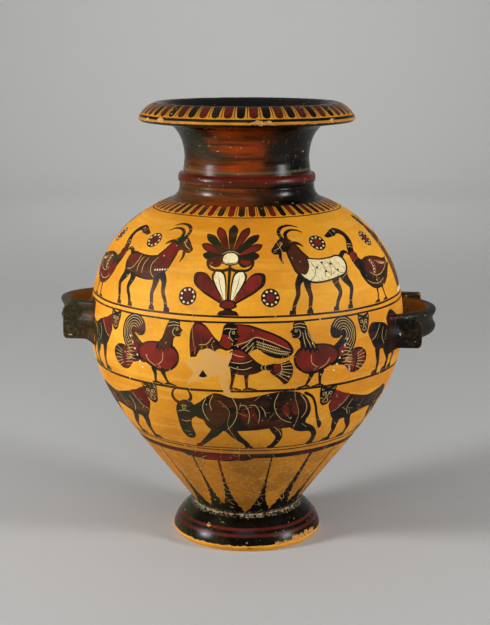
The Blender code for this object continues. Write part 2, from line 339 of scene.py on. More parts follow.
def ray(stem, top, foot_width, length=88.0):
    """A ray brushed up from the foot, broad below and fine above, its edges worn ragged."""
    rise = np.linspace(0, length, 44)
    half = (foot_width - stem) / 2 * np.exp(-(rise / 17) ** 1.2) + stem / 2 * (1 - 0.55 * rise / length)
    wear = 0.16 + 0.5 * np.exp(-(rise / 45) ** 2)
    sides = []
    for phase in (0, 2.6):
        ragged = np.sin(rise * 0.83 + stem * 9 + phase) + 0.8 * np.sin(rise * 2.1 - phase)
        sides.append(np.maximum(half + wear * ragged, 0.35))
    drawing.append(("slip", np.vstack([np.c_[-sides[0], rise], np.c_[sides[1], rise][::-1]])))
    if top == "red":
        limb("red", f"0,{length - 26},{stem * 0.5} 0.3,{length - 14},{stem * 0.7} "
             f"0,{length - 3},{stem * 0.6}")


band("slip", down[0], tongue_top)
ring_of_tongues(lip_tongues, tongue_base, tongue_base - tongue_top, (7.0, 7.5), 0.35, 0.9)
band("slip", *lip_line, wander=0.12)
band("slip", lip_edge_clay, neck_base, wander=0.15)
band("red", *neck_red, wander=0.2)
ring_of_tongues(shoulder_tongues, shoulder_tongue_base, shoulder_tongue_base - neck_base + 1, (5.5, 5.5),
                0.3, 0.7)
band("slip", *shoulder_line, wander=0.15)
for upper, lower in belly_lines:
    band("slip", upper, lower, wander=0.2)
band("slip", *frieze_line, wander=0.25)
for upper, lower in ray_fine_lines:
    band("slip", upper, lower, wander=0.25)
    band("red", upper, lower, wander=0.25, first=-24, last=16)
band("slip", *ray_line, wander=0.3)
band("red", ray_line[0] + 0.6, ray_line[1] - 1.4, wander=0.3, first=-44, last=-20)
along = np.linspace(0, 1, 25)    # slip that ran down below the line in front
for colour, first, last, inset in (("slip", -26, 10, 0.0), ("red", -23, 6, 1.1)):
    sweep = np.radians(first + (last - first) * along) * chart_radius
    sag = (ray_drips - ray_line[1]) * np.sin(pi * along) ** 0.5 + 0.5 * np.sin(along * 23)
    painted.append((colour, np.vstack([np.c_[sweep, np.full(len(along), ray_line[0] + inset)],
                                       np.c_[sweep, ray_line[1] + sag - inset][::-1]])))
for rays, foot_width in ((front_rays, front_ray_foot), (hidden_rays, hidden_ray_foot)):
    for angle, stem, top in rays:
        place(ray, angle, foot_joint, stem=stem, top=top, foot_width=foot_width)
band("slip", foot_joint, foot_edge_clay, wander=0.2)
for upper, lower in foot_red_lines:
    band("red", upper, lower, wander=0.2)


# Siren frieze: woman-headed birds between panthers, a common subject of such bands. The one in
# the middle spreads her wings and has lost her left side under a smooth repair.
def siren(neck="red", tail="slip"):
    area("slip", "-4,27 -14,25 -22,28.5 -31,27.5 -36,23 -36.5,17 -32,11 -25,7.5 -19,8.5 -12,15 -4,18")
    area("red", "-10,24 -19,27 -22.5,27.5 -24,18 -21.5,9 -18,10 -12.5,16")
    if tail == "red":
        area("red", "-26,26.5 -31,25.5 -34,22 -34,17 -30.5,12.5 -25,9.8 -26.5,18")
    fan(-15, 18, 155, 208, 20, 6, inner=0.55)
    fan(-10, 20, 160, 202, 10, 4, inner=0.3)
    limb("slip", "3,23,14 -8,28,17 -16.5,38,15.5 -15.5,47.5,12 -8.5,51.5,9.5 -2.5,48.5,8 -1.5,42.5,6.5 "
         "-6.5,40.5,3.5")
    area("slip", "-15,44 -13.4,50 -8,52 -4,49 -3,45 -5.4,41.6 -10,40.4 -14,41")
    area("red", "-3,20.5 -8,23 -14.5,30 -10,32.5 -2,26.5 1.5,24.5")
    cut("-13.5,23.5 -20.5,32 -22.3,41 -19,49.5 -11.5,54.4 -4,53 -0.6,48.6",
        "-16,30 -20.2,36 -20.4,42 -17.4,48.6 -11.4,52.4 -5.4,51.4 -2.4,47.6",
        "-14.4,32 -18.2,37 -18.4,42 -15.8,47 -11.2,50.2 -6.6,49.4 -4,46.6",
        "-12.8,34 -16.2,38.4 -16.2,42.4 -14,46 -10.8,48 -7.6,47.4 -5.6,45.4",
        "-11.4,36.4 -14,40 -13.8,43 -12,45.4 -9.8,45.8 -7.6,44.8", width=0.42)
    for i in range(7):
        cut(f"{-22 + i * 0.7},{13.6 + i * 2.9} {-15 + i * 0.4},{15.4 + i * 3} "
            f"{-8.6 - i * 0.4},{15 + i * 3.1}", width=0.42)
    area("slip", "-6,28 0,33.5 8,36 16,36.5 24,36 30.5,33.5 34.5,28 34,21 29,15 20,11.5 12,12.5 4,16.5 -5,21")
    area("red", "-4,27.5 1,32 8,34.4 16,35 24,34.5 29.4,32 32.8,27.5 32.3,21.8 28,16.8 19.8,13.2 12.5,14.2 "
         "5,18 -3,22")
    area("slip", "23,51 26,55.5 31,56 34.6,53.4 35,50 37.4,47 35.8,45.8 36.2,44.4 35.2,42.4 31.4,42 "
         "29.6,39.5 29.4,36 28.6,30.5! 26.6,33.2 25,29.6! 22.8,32.4 20.8,28.6! 18.8,31.6 16.6,28! 15,31 "
         "12.4,28.4! 14.6,35 18.8,39.5 21,45")
    if neck != "slip":
        area(neck, "22.4,46.5 28.6,46 30.4,42.4 28.4,39 28.2,35 26.6,34.2 24.8,31.2 22.8,33.6 20.6,30.4 "
             "18.8,33.2 16.4,30 16.2,35 19.9,39.2")
    else:
        cut("22.5,50 21.8,44 18.5,38 16.5,33", "25,48.5 23.8,42 21.3,37 20,33.5", "27,46.5 26.2,41 24.6,34.5")
    cut("23.5,49.5 29.5,51.2 35,50.8", "30.5,49.5 28.6,46.5 29.8,43 31.4,42.2", "36,44.2 34.2,44.5",
        "23.8,52.4 29,53.6 34,52.8")
    ring(32.4, 48.1, 1.0)
    for i in range(6):
        dot("cream", -14.2 + 2.5 * i, 37 - 4.9 * i, 0.85, sides=7)
    cut("14.5,17 19,21 20,28", "12.5,15.5 6,19 2.5,24", "17.5,14.8 13,18", width=0.45)
    limb("slip", "10,14,5.5 11,8,3 10.3,2.6,2.2 10.6,0.8,2")
    limb("slip", "18.5,13,5.5 20,7.5,3 22.5,2.4,2.2")
    for x in (10.5, 22.5):
        limb("slip", f"{x - 3.5},0.6,1.2 {x},1.6,2.2 {x + 4},0.9,1.6 {x + 7},0.3,1")


def spread_siren():
    area("slip", "-40.8,26.5! -41.4,40 -39.5,50.5 -35,55.5 -30,54 -21,44 -11,33 -17,34.5 -22,31! -25.5,34 "
         "-29.5,28.5! -32,33 -36,27!")
    area("red", "-39.8,30 -40,41 -38.3,49.8 -34.6,53.8 -30.4,52.4 -23,44 -27,38.5 -33,38 -36.5,34")
    cut("-33.5,37 -27,38 -22.5,43.5", "-31,36 -31.5,30", "-27,37 -26.5,31.5", "-23.3,38 -21.5,33",
        "-36.5,35 -37.2,29")
    area("slip", "-5,54.6! 6,54 18,50 31,44.5 40.5,37 42.4,31.5 39,27.8 30,26.6 20,30 13,34.5 4,29 -4,24 "
         "-8,30 -6,40")
    area("red", "-3.6,53 6,52.4 17.4,48.6 29.6,43.4 38.4,36.6 39.4,33.4 30,36.6 18,41.6 11.5,43.2 5,40 -2,37 "
         "-4.6,43")
    for i in range(13):
        cut(f"{12.6 + i * 2},{41.6 - i * 0.8} {17.6 + i * 1.75},{32.6 - i * 0.42}", width=0.36)
    cut("-5,37.5 5,40.6 11.6,44 19,42.2 31,37 40.2,32.8", "12,36.6 20,34 30,30.6 38.5,29.8",
        "12.2,38.6 20.5,36 31,32.6 39.8,31", "12.2,40.6 20.8,38 31.4,34.4", "9.6,43 4.2,37.4 -1.6,33.4",
        "10.4,40 5.6,34.6 0,30.6", "11,37 7,31.8 1.6,27.8")
    for i in range(4):
        cut(f"{3.2 + i * 5},{29.6 + i * 1.6} {6 + i * 4},{38 + i * 1.4}", width=0.4)
    area("slip", "-9.4,27 -9.6,20 -7,15.6 0,13.2 8,13.6 14,15.2 18,17.4 25,16.8 25,21.6 18,21.4 14,23.5 9,28 "
         "4,33 -3,35.5 -8,33")
    area("red", "-7.6,33 -3,34 3.4,31.4 7.6,27.2 3,25 -5,24.6 -8.2,27.6")
    cut("-8.4,24.2 -3,23.2 4,23.6 9,25.6", "-9,20.4 -3,18.4 3,18 9,20", "-7.4,17.6 -4,15.4",
        "17.5,17.4 16.2,19.4 17.5,21.4", "20.5,17.2 19.2,19.4 20.5,21.6", "-7,31 -2,29 3,28.4")
    area("slip", "23,16.4 30,9.6 34.6,4.4! 37.2,5 39.4,8 41.6,12.2 42.2,17 41,21.6 38.6,24.8! 32,22.4 "
         "24,21.8")
    area("red", "26.6,16.8 30.6,13 31.8,17.6 31,21.6 26.4,21.2")
    fan(22, 19, -37, 13, 20, 6, inner=0.52)
    cut("31,11.5 33,17.4 32,22.6")
    area("slip", "-14.6,47 -13.4,52.6 -9.6,55.6 -5,54.8 -2.2,51 -2.6,47.6 -0.6,44.4 -2.2,43.2 -2,40.6 "
         "-4.2,39.4 -6.8,39.2 -6.6,35.4 -9.4,33.4 -14,35 -18.6,37.5 -16,42")
    area("red", "-14.6,45.6 -10,45.2 -7.6,41 -7.6,36.6 -9.8,34.8 -14,36.4 -16.6,38.4 -14.8,42")
    cut("-13.5,50 -9.6,51 -6.6,50.4 -3.2,50.8", "-7.6,49.6 -9,46.6 -8,43.2 -5.6,40.6", "-2.6,42.6 -4.6,42.8")
    ring(-5.6, 47.6, 1.0)
    limb("slip", "-6,16,4.5 -6.4,9,2.6 -8,2.2,2.2")
    limb("slip", "4.5,14.5,4.5 4.4,8,2.6 4.8,1.4,2.2")
    for x in (-7, 5.5):
        limb("slip", f"{x - 3.5},0.6,1.2 {x},1.4,2.2 {x + 4},0.9,1.6 {x + 7},0.3,1")


def panther(length=44.0, neck="red", tall=1.0):
    """A walking panther whose face turns to the front, its paws on the line."""
    back, rump = -length * 0.62, -length
    limb("slip", f"{rump + 6},{40 * tall},8 {rump - 3},{36 * tall},3 {rump - 6},{28 * tall},2.4 "
         f"{rump - 10},{24 * tall},2.2 {rump - 15},{29 * tall},2.4")
    limb("slip", f"{rump + 9},{34 * tall},12 {rump + 5},{22 * tall},7 {rump - 1},{14 * tall},4.4 "
         f"{rump + 2},5,3.6 {rump + 1},2.5,3.6")
    limb("slip", f"{rump + 12},{34 * tall},13 {rump + 15},{22 * tall},8 {rump + 11},{13 * tall},4.6 "
         f"{rump + 14},5,3.6 {rump + 14},2.6,3.6")
    area("slip", f"20,{50 * tall} 8,{50 * tall} -4,{47 * tall} {back / 2 - 4},{43 * tall} "
         f"{back - 4},{45 * tall} {rump + 4},{46 * tall} {rump - 2},{40 * tall} {rump},{31 * tall} "
         f"{rump + 12},{27 * tall} {back + 6},{29 * tall} -8,{26 * tall} 4,{24 * tall} 14,{27 * tall} "
         f"20,{35 * tall} 24,{44 * tall}")
    limb("slip", f"-2,{32 * tall},11 -6,{21 * tall},6.4 -12,{12 * tall},4.6 -12,5,3.8 -11.6,2.4,3.8")
    limb("slip", f"9,{32 * tall},12 8.4,{21 * tall},7 6,{12 * tall},4.6 6.4,5,3.8 6.6,2.4,3.8")
    for x in (rump + 1, rump + 14, -11.6, 6.6):
        area("slip", f"{x - 2.2},0.2! {x - 2},4 {x + 2},5 {x + 6.4},3.8 {x + 8},1.6 {x + 7},0.2!")
        cut(f"{x + 5.4},0.8 {x + 6.4},2.6", f"{x + 3},0.8 {x + 4},2.9", width=0.4)
    if neck == "red":
        area("red", f"23,{56 * tall} 12,{52 * tall} 4,{49 * tall} 8,{43 * tall} 14,{38 * tall} "
             f"19,{36 * tall} 23,{44 * tall}")
    cut(f"5,{48 * tall} 9,{42 * tall} 15,{36 * tall} 19,{34.6 * tall}",
        f"-1,{44 * tall} 2,{36 * tall} -2,{28 * tall}", f"{rump + 5},{43 * tall} {rump + 12},{38 * tall} "
        f"{rump + 17},{31 * tall}", f"{back},{41 * tall} {back + 5},{32 * tall}",
        f"{back / 2},{40 * tall} {back / 2 + 4},{31 * tall}", width=0.45)
    x, y = 29.0, 52.0 * tall
    area("slip", f"{x - 7.4},{y + 4} {x - 7},{y + 9.4} {x - 3.6},{y + 8.6} {x},{y + 7.6} {x + 3.6},{y + 8.6} "
         f"{x + 7},{y + 9.2} {x + 7.4},{y + 3.6} {x + 5.8},{y - 2} {x + 4.2},{y - 6.6} {x},{y - 9.4} "
         f"{x - 4.2},{y - 6.6} {x - 6},{y - 2}")
    ring(x - 3, y + 2.2, 1.3)
    ring(x + 3, y + 2.2, 1.3)
    cut(f"{x - 1.4},{y + 4} {x - 1.2},{y - 3.4} {x - 2.6},{y - 5} {x},{y - 6.2} {x + 2.6},{y - 5} "
        f"{x + 1.2},{y - 3.4} {x + 1.4},{y + 4}",
        f"{x - 6},{y + 7.6} {x - 5.4},{y + 5.6} {x - 3.6},{y + 6.2}",
        f"{x + 6},{y + 7.4} {x + 5.4},{y + 5.6} {x + 3.6},{y + 6.2}",
        f"{x - 5.2},{y - 1} {x - 2.6},{y - 2.4}", f"{x + 5.2},{y - 1} {x + 2.6},{y - 2.4}", width=0.42)


def repair_patch():
    """Smooth plaster, tinted near the clay, where a piece of the painted wall is lost."""
    area("plaster", "-7,32 -1,34.4 5,32 13,29.6 18.6,32.4! 17.6,27 15.4,22 15.6,16 16.2,12 13.4,8 15.4,1 "
         "17.6,-6.4! 10.8,-7.4! 9.8,1 7,6 8,13 0,10.4 -6,8 -14,5.4 -19,3! -18.6,6.4 -13.4,13 -17,18 "
         "-21.4,23! -14,25 -8,25.6")
    area("slip", "-9.2,10.8! -5.6,16.6! -2,11.4! -5.4,10")


frieze_ground = frieze_line[0]
place(panther, -56.5, frieze_ground, size=0.9, length=24.0)
place(siren, -31.0, frieze_ground, neck="brown")
place(spread_siren, 4.4, frieze_ground)
place(repair_patch, -6.0, frieze_ground)
place(siren, 36.5, frieze_ground, turned=True, neck="slip", tail="red")
place(panther, 61.5, frieze_ground, size=0.9, turned=True, neck="slip", length=24.0)


# Lower frieze: a bull with lowered head between two panthers, in black slip with added red and
# brown. They stand on the upper of the fine lines over the rays.
def bull():
    limb("slip", "-14,34,15 -13,24,10 -6,13,6 0,6,4.6 1.4,1.4,4.4")
    limb("slip", "40,34,20 45,25,13 55,20,6.5 58,13,5 56.4,6,4.6 54,1.6,4.6")
    limb("slip", "24,36,16 24,24,10 26.6,15,6 23.6,7,4.8 20,2,4.4")
    limb("slip", "-24,34,15 -24,24,11 -31,13,6 -36,6,4.6 -39.4,1.4,4.4")
    for x, lean in ((1.6, 1), (54, -1), (19.6, -1), (-39.8, -1)):
        area("slip", f"{x - 3},0! {x - 2.4},3.6 {x + 2.4},3.8 {x + 3.2 + lean},0!")
    area("slip", "-44,47.5 -38,52.5 -32,58 -26,61.4 -20,60.6 -14,58 -6,57.4 4,58.4 14,60.6 24,62.6 34,62.8 "
         "42,61.4 48,57.6 52,51 53.6,42 50,33 44,27.4 34,24.6 20,25.2 8,23.4 -4,22.6 -14,22.2 -22,21.4 "
         "-29,23 -33.4,28 -35.6,33 -42,36.4")
    area("slip", "-43.4,49 -47,52.4 -52,53 -56.6,50.4 -59.4,44 -58.8,36 -57.6,28 -56,20.4 -53,14 -48.6,10 "
         "-44.6,10.4 -42.6,14.4 -44,20 -46,28 -45,34 -42,37")
    limb("slip", "-56,49,3.4 -60.4,52,2.8 -62.4,56.6,2.2 -61,61.4,1.6 -58.8,63.2,1")
    limb("slip", "-49,51,3.4 -46,54.6,2.8 -46.4,59.4,2.2 -48.6,62.6,1")
    limb("slip", "-46,46,4 -42,44,3 -40.4,40.4,2")
    limb("slip", "48,60,3 54,56,2.6 57.4,48,2.4 59,38,2.4 61,29,3.4 62.6,24.4,4.6 62.4,20.4,2.6")
    area("red", "-4,47 -1.4,44 0.4,38 0,33.4 -3,36 -5,42")
    area("red", "3.6,47.4 6.6,44 8.4,38 8,33 4.8,35.6 3,41.6")
    area("red", "30.6,50 34.2,46 35,40 32.6,37 29.6,41 29,46")
    area("red", "38.4,50.6 42,46.6 42.6,41 40,38.6 37.4,43")
    area("brown", "-30,52 -24,55 -18,52 -15,44 -17,34 -23,27.6 -29,30 -32,38 -33,46")
    cut("-12,58.6 -8.4,50 -8,40 -12,29 -16,23.4", "-33,56.4 -36,48 -34.6,40 -31,33", "-27,60 -30,52 -28.4,44",
        "26,62 22.4,52 24,42 30,33.6 37,30", "44,59 49,51 49.4,42 45,34", "-6,50 -2,50.6 1,46 2.2,38 1,31",
        "2,50.4 6.4,50.6 9.4,46 10.4,38 9.4,31.6", "11,49.6 14,45 15.4,38", "-58,40 -53,42 -47,41.4",
        "-46.4,32 -50,30 -55.4,31", "-53,18.6 -47.6,17.6", "-49,13.4 -46.4,14.6", "22,27 27,21 28.4,15",
        "-19,22 -22.6,17", "46,28 50.6,23.4")
    ring(-52.4, 44.6, 1.4)
    cut("-55.4,46.6 -52,47.4 -49,46.4")


frieze_floor = ray_fine_lines[0][1]
place(panther, -43.0, frieze_floor, size=1.03, length=54.0, tall=1.02)
place(bull, 6.4, frieze_floor)
place(panther, 49.0, frieze_floor, size=1.03, turned=True, length=54.0, tall=1.02)


# Shoulder zone: common motifs in the colours and at the scale of such zones, painted on the double
# line over the belly: a lotus and palmette between goats, geese and draped figures, left and right.
def petal(colour, x, y, turn, reach, width):
    """A leaf that swells towards its round tip, from its root at x, y."""
    along = np.array([0, 0.30, 0.62, 0.86, 1.0, 0.86, 0.62, 0.30]) * reach
    across = np.array([0, 0.22, 0.42, 0.42, 0, -0.42, -0.42, -0.22]) * width
    angle = radians(turn)
    points = np.c_[x + along * cos(angle) - across * sin(angle), y + along * sin(angle) + across * cos(angle)]
    drawing.append((colour, smooth(points, [True] + [False] * 7, True)))


def volute(side, x, y, radius, width):
    """A tendril that rolls up in one turn and a half."""
    turn = np.linspace(0, 3 * pi, 26)
    reach = radius * (1 - 0.72 * turn / turn[-1])
    line = np.c_[x + side * reach * np.cos(turn - pi / 2), y + reach * np.sin(turn - pi / 2)]
    drawing.append(("slip", stroke_edge(line, np.linspace(width, width * 0.5, len(line)))))


def lotus_and_palmette(petals=11):
    """A lotus flower that opens upwards, two rolled tendrils, and a palmette standing on them."""
    area("slip", "-9,0.2! -7,3.4 -3,5 -3,8! 3,8! 3,5 7,3.4 9,0.2!")
    for side in (-1, 1):
        petal("slip", side * 2, 7, 90 - side * 44, 37, 15)
        petal("red", side * 3, 9, 90 - side * 44, 32, 11)
    for side in (-1, 1):
        petal("slip", side * 1.4, 8, 90 - side * 17, 31, 12.4)
        petal("cream", side * 2, 10, 90 - side * 17, 27, 9)
        cut(f"{side * 4},15 {side * 6.4},22 {side * 8.4},31", width=0.45, colour="slip")
    area("slip", "-7,7.4 -5,11.4 0,13 5,11.4 7,7.4 4,5.6 -4,5.6")
    area("red", "-5.2,8 -3.8,10.6 0,11.8 3.8,10.6 5.2,8 3,6.8 -3,6.8")
    limb("slip", "0,12,2.4 0,26,2.2 0,40,2.6")
    for side in (-1, 1):
        limb("slip", f"0,38,3 {side * 5},36.4,2.6 {side * 11},36.6,2.4")
        volute(side, side * 12, 43.6, 7.2, 2.4)
    area("slip", "-7,44 -7.6,49 -4.4,52.6 0,53.6 4.4,52.6 7.6,49 7,44 0,40.6")
    for i in range(petals):
        turn = -14 + 208 * i / (petals - 1)
        reach = 21.5 + 13.5 * sin(radians(turn))
        petal("slip", 0, 47, turn, reach, 8.2)
        if i % 2 == 0:
            petal("red", 4 * cos(radians(turn)), 47 + 4 * sin(radians(turn)), turn, reach - 5.6, 5.6)
    area("slip", "-8,43.6 -8,49.4 -4.6,53.4 0,54.4 4.6,53.4 8,49.4 8,43.6 0,41.4")
    area("cream", "-5.6,44.6 -5.6,48.6 -3.2,51.4 0,52.2 3.2,51.4 5.6,48.6 5.6,44.6 0,43.2")
    cut("-7,50.8 -3.6,53 0,53.6 3.6,53 7,50.8", "-6.4,43.4 0,42.2 6.4,43.4", width=0.42)


def goat(body="brown", neck="red"):
    """A goat that steps to the left with its head up, its horns swept back."""
    limb("slip", "-14,33,8 -20.6,25,5 -22,16.4,3.8 -26.4,8,3.2 -28,2.4,3.2")
    limb("slip", "17,34,12 15,24,6.6 18,15.6,4.2 13.6,7,3.3 12.2,2.4,3.2")
    area("slip", "-16,46.4 -8,47.6 4,46 16,46.6 24,47.6 30,43.4 31.4,36 28,29.4 20,27.4 10,25.4 0,24.4 -8,25 "
         "-14,28 -18.4,34 -20,40")
    limb("slip", "-11,33,10 -12.4,22.6,5.6 -11.2,13.4,3.9 -13,5.4,3.3 -13,2.4,3.2")
    limb("slip", "23,36,14 26,25.4,7.8 30.6,18.4,4.8 28,8.6,3.5 27,2.4,3.3")
    for x in (-28.4, 11.8, -13.2, 26.8):
        area("slip", f"{x - 3.4},0.2! {x - 2.4},3.6 {x + 2},3.8 {x + 2.6},0.2!")
    limb("slip", "27,45,5 32,49,4 35.6,48.4,2.6 37.4,45.4,1")
    area("slip", "-4,46.6 -8.6,54 -12,61.6 -16,67 -21.4,68.6 -26.6,65.4 -32,59.4 -35,55.4 -34.4,52.8 "
         "-31,51.8 -26.8,53.8 -23.6,54 -23,49 -22,42 -19.6,34 -12,30 -5,36")
    limb("slip", "-28,53.6,3 -29.4,48.6,2.4 -28.6,43.4,1")
    limb("slip", "-15,63.4,3.4 -9.6,61.8,3.2 -6,58.6,1")
    limb("slip", "-21.6,67,3.4 -22,74,3.1 -17.4,80.4,2.8 -9.6,82.6,2.4 -2.6,80,1")
    limb("slip", "-18,67,3.4 -17,72.4,3 -11.6,76.6,2.6 -5.4,76.4,2 -1,73.4,0.9")
    area(body, "-15,45 -8,46.2 4,44.6 16,45.2 23.6,46 28.4,42.2 29.6,36.2 26.4,31 19.6,29 10,27 0,26 -7,26.6 "
         "-12.4,29.6 -16.4,35")
    area(neck, "-6.4,46.4 -10.4,53.8 -14,60.8 -18.6,57.6 -21.4,53.4 -21.2,48 -20.2,42 -18,35.8 -12.6,32.4 "
         "-7.6,37.4")
    if body == "cream":
        for x, y in ((0, 38), (8, 34), (14, 40), (6, 42), (20, 34)):
            dot("slip", x, y, 1.1, sides=8)
    else:
        area("red", "16.6,43.6 21.4,43 24.6,38.6 23.6,33.4 19,34.6 16.4,39")
        for i in range(6):
            dot("cream", -20.2 + i * 2.5, 35.6 - i * 0.35, 0.85, sides=7)
    line = "slip" if body == "cream" else "incised"
    cut("-6,45.6 -2,38 -4,31 -9,27", "4,44 7,37 6,29", "10,44 13,37 12.4,30", "14,45.4 16,38 21,32 27,30.6",
        width=0.48, colour=line)
    cut("-16.4,63.6 -13,64.4", "-24,62 -27.6,58 -32.6,55.6", "-33.6,54.2 -30.8,54.6", "-23,70.4 -20.6,70.8",
        "-22.8,73.6 -20.8,73.2", "-20.6,77.2 -18.8,75.8", "-28,6.4 -24.8,8", "-14.6,5.6 -11,6",
        "26,7.2 29.6,6.6", width=0.42)
    ring(-24.2, 62.6, 1.1)


def goose(body="slip", wing="red"):
    """A goose that walks to the left, its wing folded and its neck raised."""
    for x, lean in ((-1, -2), (7, 3)):
        limb("slip", f"{x},14,3 {x + lean * 0.4},7,1.9 {x + lean},1.4,1.7")
        area("slip", f"{x + lean - 6.4},0.2! {x + lean - 3},2 {x + lean + 1},2.4 {x + lean + 2.4},0.2!")
    area("slip", "-17,27 -14,18.6 -7,12.6 3,10.6 13,12.4 22,17 30,22.6 38,26.4! 33,29.4! 36.4,32.6! 28,32.4 "
         "18,35.4 6,38 -5,37.6 -13,33.4")
    limb("slip", "-9,28,15 -15.6,38,9.6 -14.6,47,7 -9.6,54.6,6 -9.4,62,6 -14.4,66.4,6.4 -19.4,65.6,5.6")
    area("slip", "-19,68.4 -24,66.4 -31,62.6! -30,60.8 -24.6,61 -19,62")
    if body != "slip":
        area(body, "-15.4,27 -12.6,19.8 -6.4,14.4 3,12.4 12,14 20.6,18.6 27,23 20,24 8,22 -3,25 -9,31 "
             "-12.6,31.8")
    area(wing, "-6,32.6 0,36 7,36.4 17,34 26,30.8 30,28.4 22,25.4 11,22.6 2,22.8 -5,26.6")
    cut("-5,25.4 2,21.6 11,21.4 22,24.4 31,27.8", "4,35.6 6.6,29.6 4,23.4", "1,34.6 3.4,29.4 1,24.4",
        width=0.45)
    for i in range(5):
        cut(f"{9 + i * 3.4},{33.6 - i * 0.9} {16 + i * 2.7},{29.6 - i * 0.3} {24 + i * 1.4},{28 + i * 0.1}",
            width=0.4)
    for i in range(5):
        dot("cream", 2.4 + 0.35 * i * (4 - i), 34.4 - i * 2.6, 0.75, sides=7)
    cut("-12,19.6 -5,16 4,15 14,17.4", "-15.4,51 -12.6,52.4 -9.6,50.6", "-16.4,48.6 -13.8,50 -11,48",
        "-22.4,67 -22,61.6", width=0.42)
    area("red", "-18.4,43 -14,44.8 -10.4,43 -11.6,38.6 -15,37 -19.6,38.8")
    ring(-17.2, 66, 1.0)


def rosette():
    """A filling ornament: a dark disc with a red heart and a ring of cream dots."""
    dot("slip", 0, 0, 7.6, sides=20)
    dot("red", 0, 0, 3.5, sides=14)
    for i in range(9):
        dot("cream", 5.5 * cos(2 * pi * i / 9), 5.5 * sin(2 * pi * i / 9), 0.95, sides=7)


def standing_figure(colour="red"):
    area("slip", "-9,4! -10,30 -7,52 -7,62 -2,67.4 4,67 8,61 8.4,46 9.4,26 9,4!")
    area(colour, "-7.8,5! -8.8,30 -5.8,52 -5.8,61 -1.6,65.8 3.4,65.4 6.8,60 7.2,46 8.2,26 7.8,5!")
    area("slip", "-5,69 -6,75 -3,80.6 2,82 6.4,79 7,73 5,68 2,65 -2,65.4")
    area("cream", "-10,0.4! -10.4,3 -4,4.8 -1,0.4!")
    area("cream", "2,0.4! 1.4,4.6 9,3 11,0.4!")
    limb("slip", "-4,60,5 -10,52,4 -15,57,3.4")
    limb("slip", "-17,2,1.2 -16,40,1.3 -14.6,84,1")
    cut("-7,46 0,48 7,46", "-7,43 0,45 7,43", "0,42 -0.6,24 0,6", "-4,42 -5,24 -4.6,6", "4,42 4.2,24 4.6,6",
        "-3,76 1,77.6 5,75", width=0.45)


shoulder_ground = belly_lines[0][0]
place(lotus_and_palmette, 0.0, shoulder_ground)
place(goat, -34.0, shoulder_ground, size=0.97, turned=True)
place(goat, 34.0, shoulder_ground, size=0.97, body="cream", neck="brown")
place(goose, -62.0, shoulder_ground, size=1.04, turned=True, body="red", wing="brown")
place(goose, 62.0, shoulder_ground, size=1.04)
place(standing_figure, -85.0, shoulder_ground, size=0.97)
place(standing_figure, 85.0, shoulder_ground, size=0.97, turned=True, colour="brown")
for angle, level in ((14.6, 91.0), (38.6, 46.0), (71.0, 50.0)):
    place(rosette, angle, level)
    place(rosette, -angle, level)


# Hidden side: draped figures, goats and geese go on round the shoulder, and both friezes go on with
# sirens and bulls. The roots of the side handles stand in thickly brushed slip.
for side in (1, -1):
    place(standing_figure, 103 * side, shoulder_ground, size=0.97, turned=side < 0, colour="brown")
    place(goat, 132 * side, shoulder_ground, size=0.97, turned=side < 0)
    place(goose, 161 * side, shoulder_ground, turned=side < 0)
    place(siren, 134 * side, frieze_ground, turned=side > 0, neck="slip")
    place(siren, 163.6 * side, frieze_ground, turned=side < 0, tail="red")
    place(bull, 113 * side, frieze_floor, turned=side < 0)
    place(siren, 159 * side, frieze_floor, size=1.08, turned=side > 0, neck="slip")


def handle_ground():
    """Slip brushed thickly over the wall round the roots of a side handle."""
    for x in (-52, 52):
        area("slip", f"{x - 8},15 {x - 3},19 {x + 5},18 {x + 9},12 {x + 8},0 {x + 9},-10 {x + 3},-17 "
             f"{x - 5},-16 {x - 9},-8 {x - 8},4")


handle_level = level_of(belly_level, 90, 200)
place(handle_ground, 90, handle_level - 4)
place(handle_ground, -90, handle_level - 7)


# Wear: slip rubbed off in ragged runs along the foot's joint and the edges of foot and lip, fine
# cracks across the wall, and short scratches, most of them low on the jar.
def worn_line(first, last, level, width, seed, gap=1.12):
    """A ragged run of worn places along a line, where the slip has rubbed off."""
    turn = radians(first)
    count = 0
    while turn < radians(last):
        count += 1
        swing = sin(count * 2.7 + seed) + 0.6 * sin(count * 5.3 + seed * 2)
        run = radians(3.4 + 2.2 * swing)
        across = np.linspace(0, 1, 9)
        bulge = np.sin(pi * across) ** 0.6 * width * (0.55 + 0.3 * swing)
        ragged = 0.25 * width * np.sin(across * 17 + count * 1.9)
        top = np.c_[(turn + run * across) * chart_radius, level - bulge * 0.6 + ragged]
        base = np.c_[(turn + run * across) * chart_radius, level + bulge * 0.5 + ragged * 0.4]
        painted.append(("bare", np.vstack([top, base[-2:0:-1]])))
        turn += run * (gap + 0.35 * abs(sin(count * 1.7 + seed)))


worn_line(-58, 60, foot_joint + 0.6, 1.9, 1.0)
worn_line(-172, -70, foot_joint + 0.6, 1.2, 2.0)
worn_line(70, 168, foot_joint + 0.6, 1.2, 3.0)
worn_line(44, 72, foot_edge_clay - 2.6, 4.0, 4.0, 0.62)
worn_line(28, 66, foot_edge_clay - 0.6, 3.2, 5.0, 0.55)
worn_line(-50, 20, foot_edge_clay, 1.2, 6.0)
worn_line(-60, -20, lip_edge_clay, 1.0, 7.0)
worn_line(14, 60, lip_edge_clay, 0.8, 8.0)


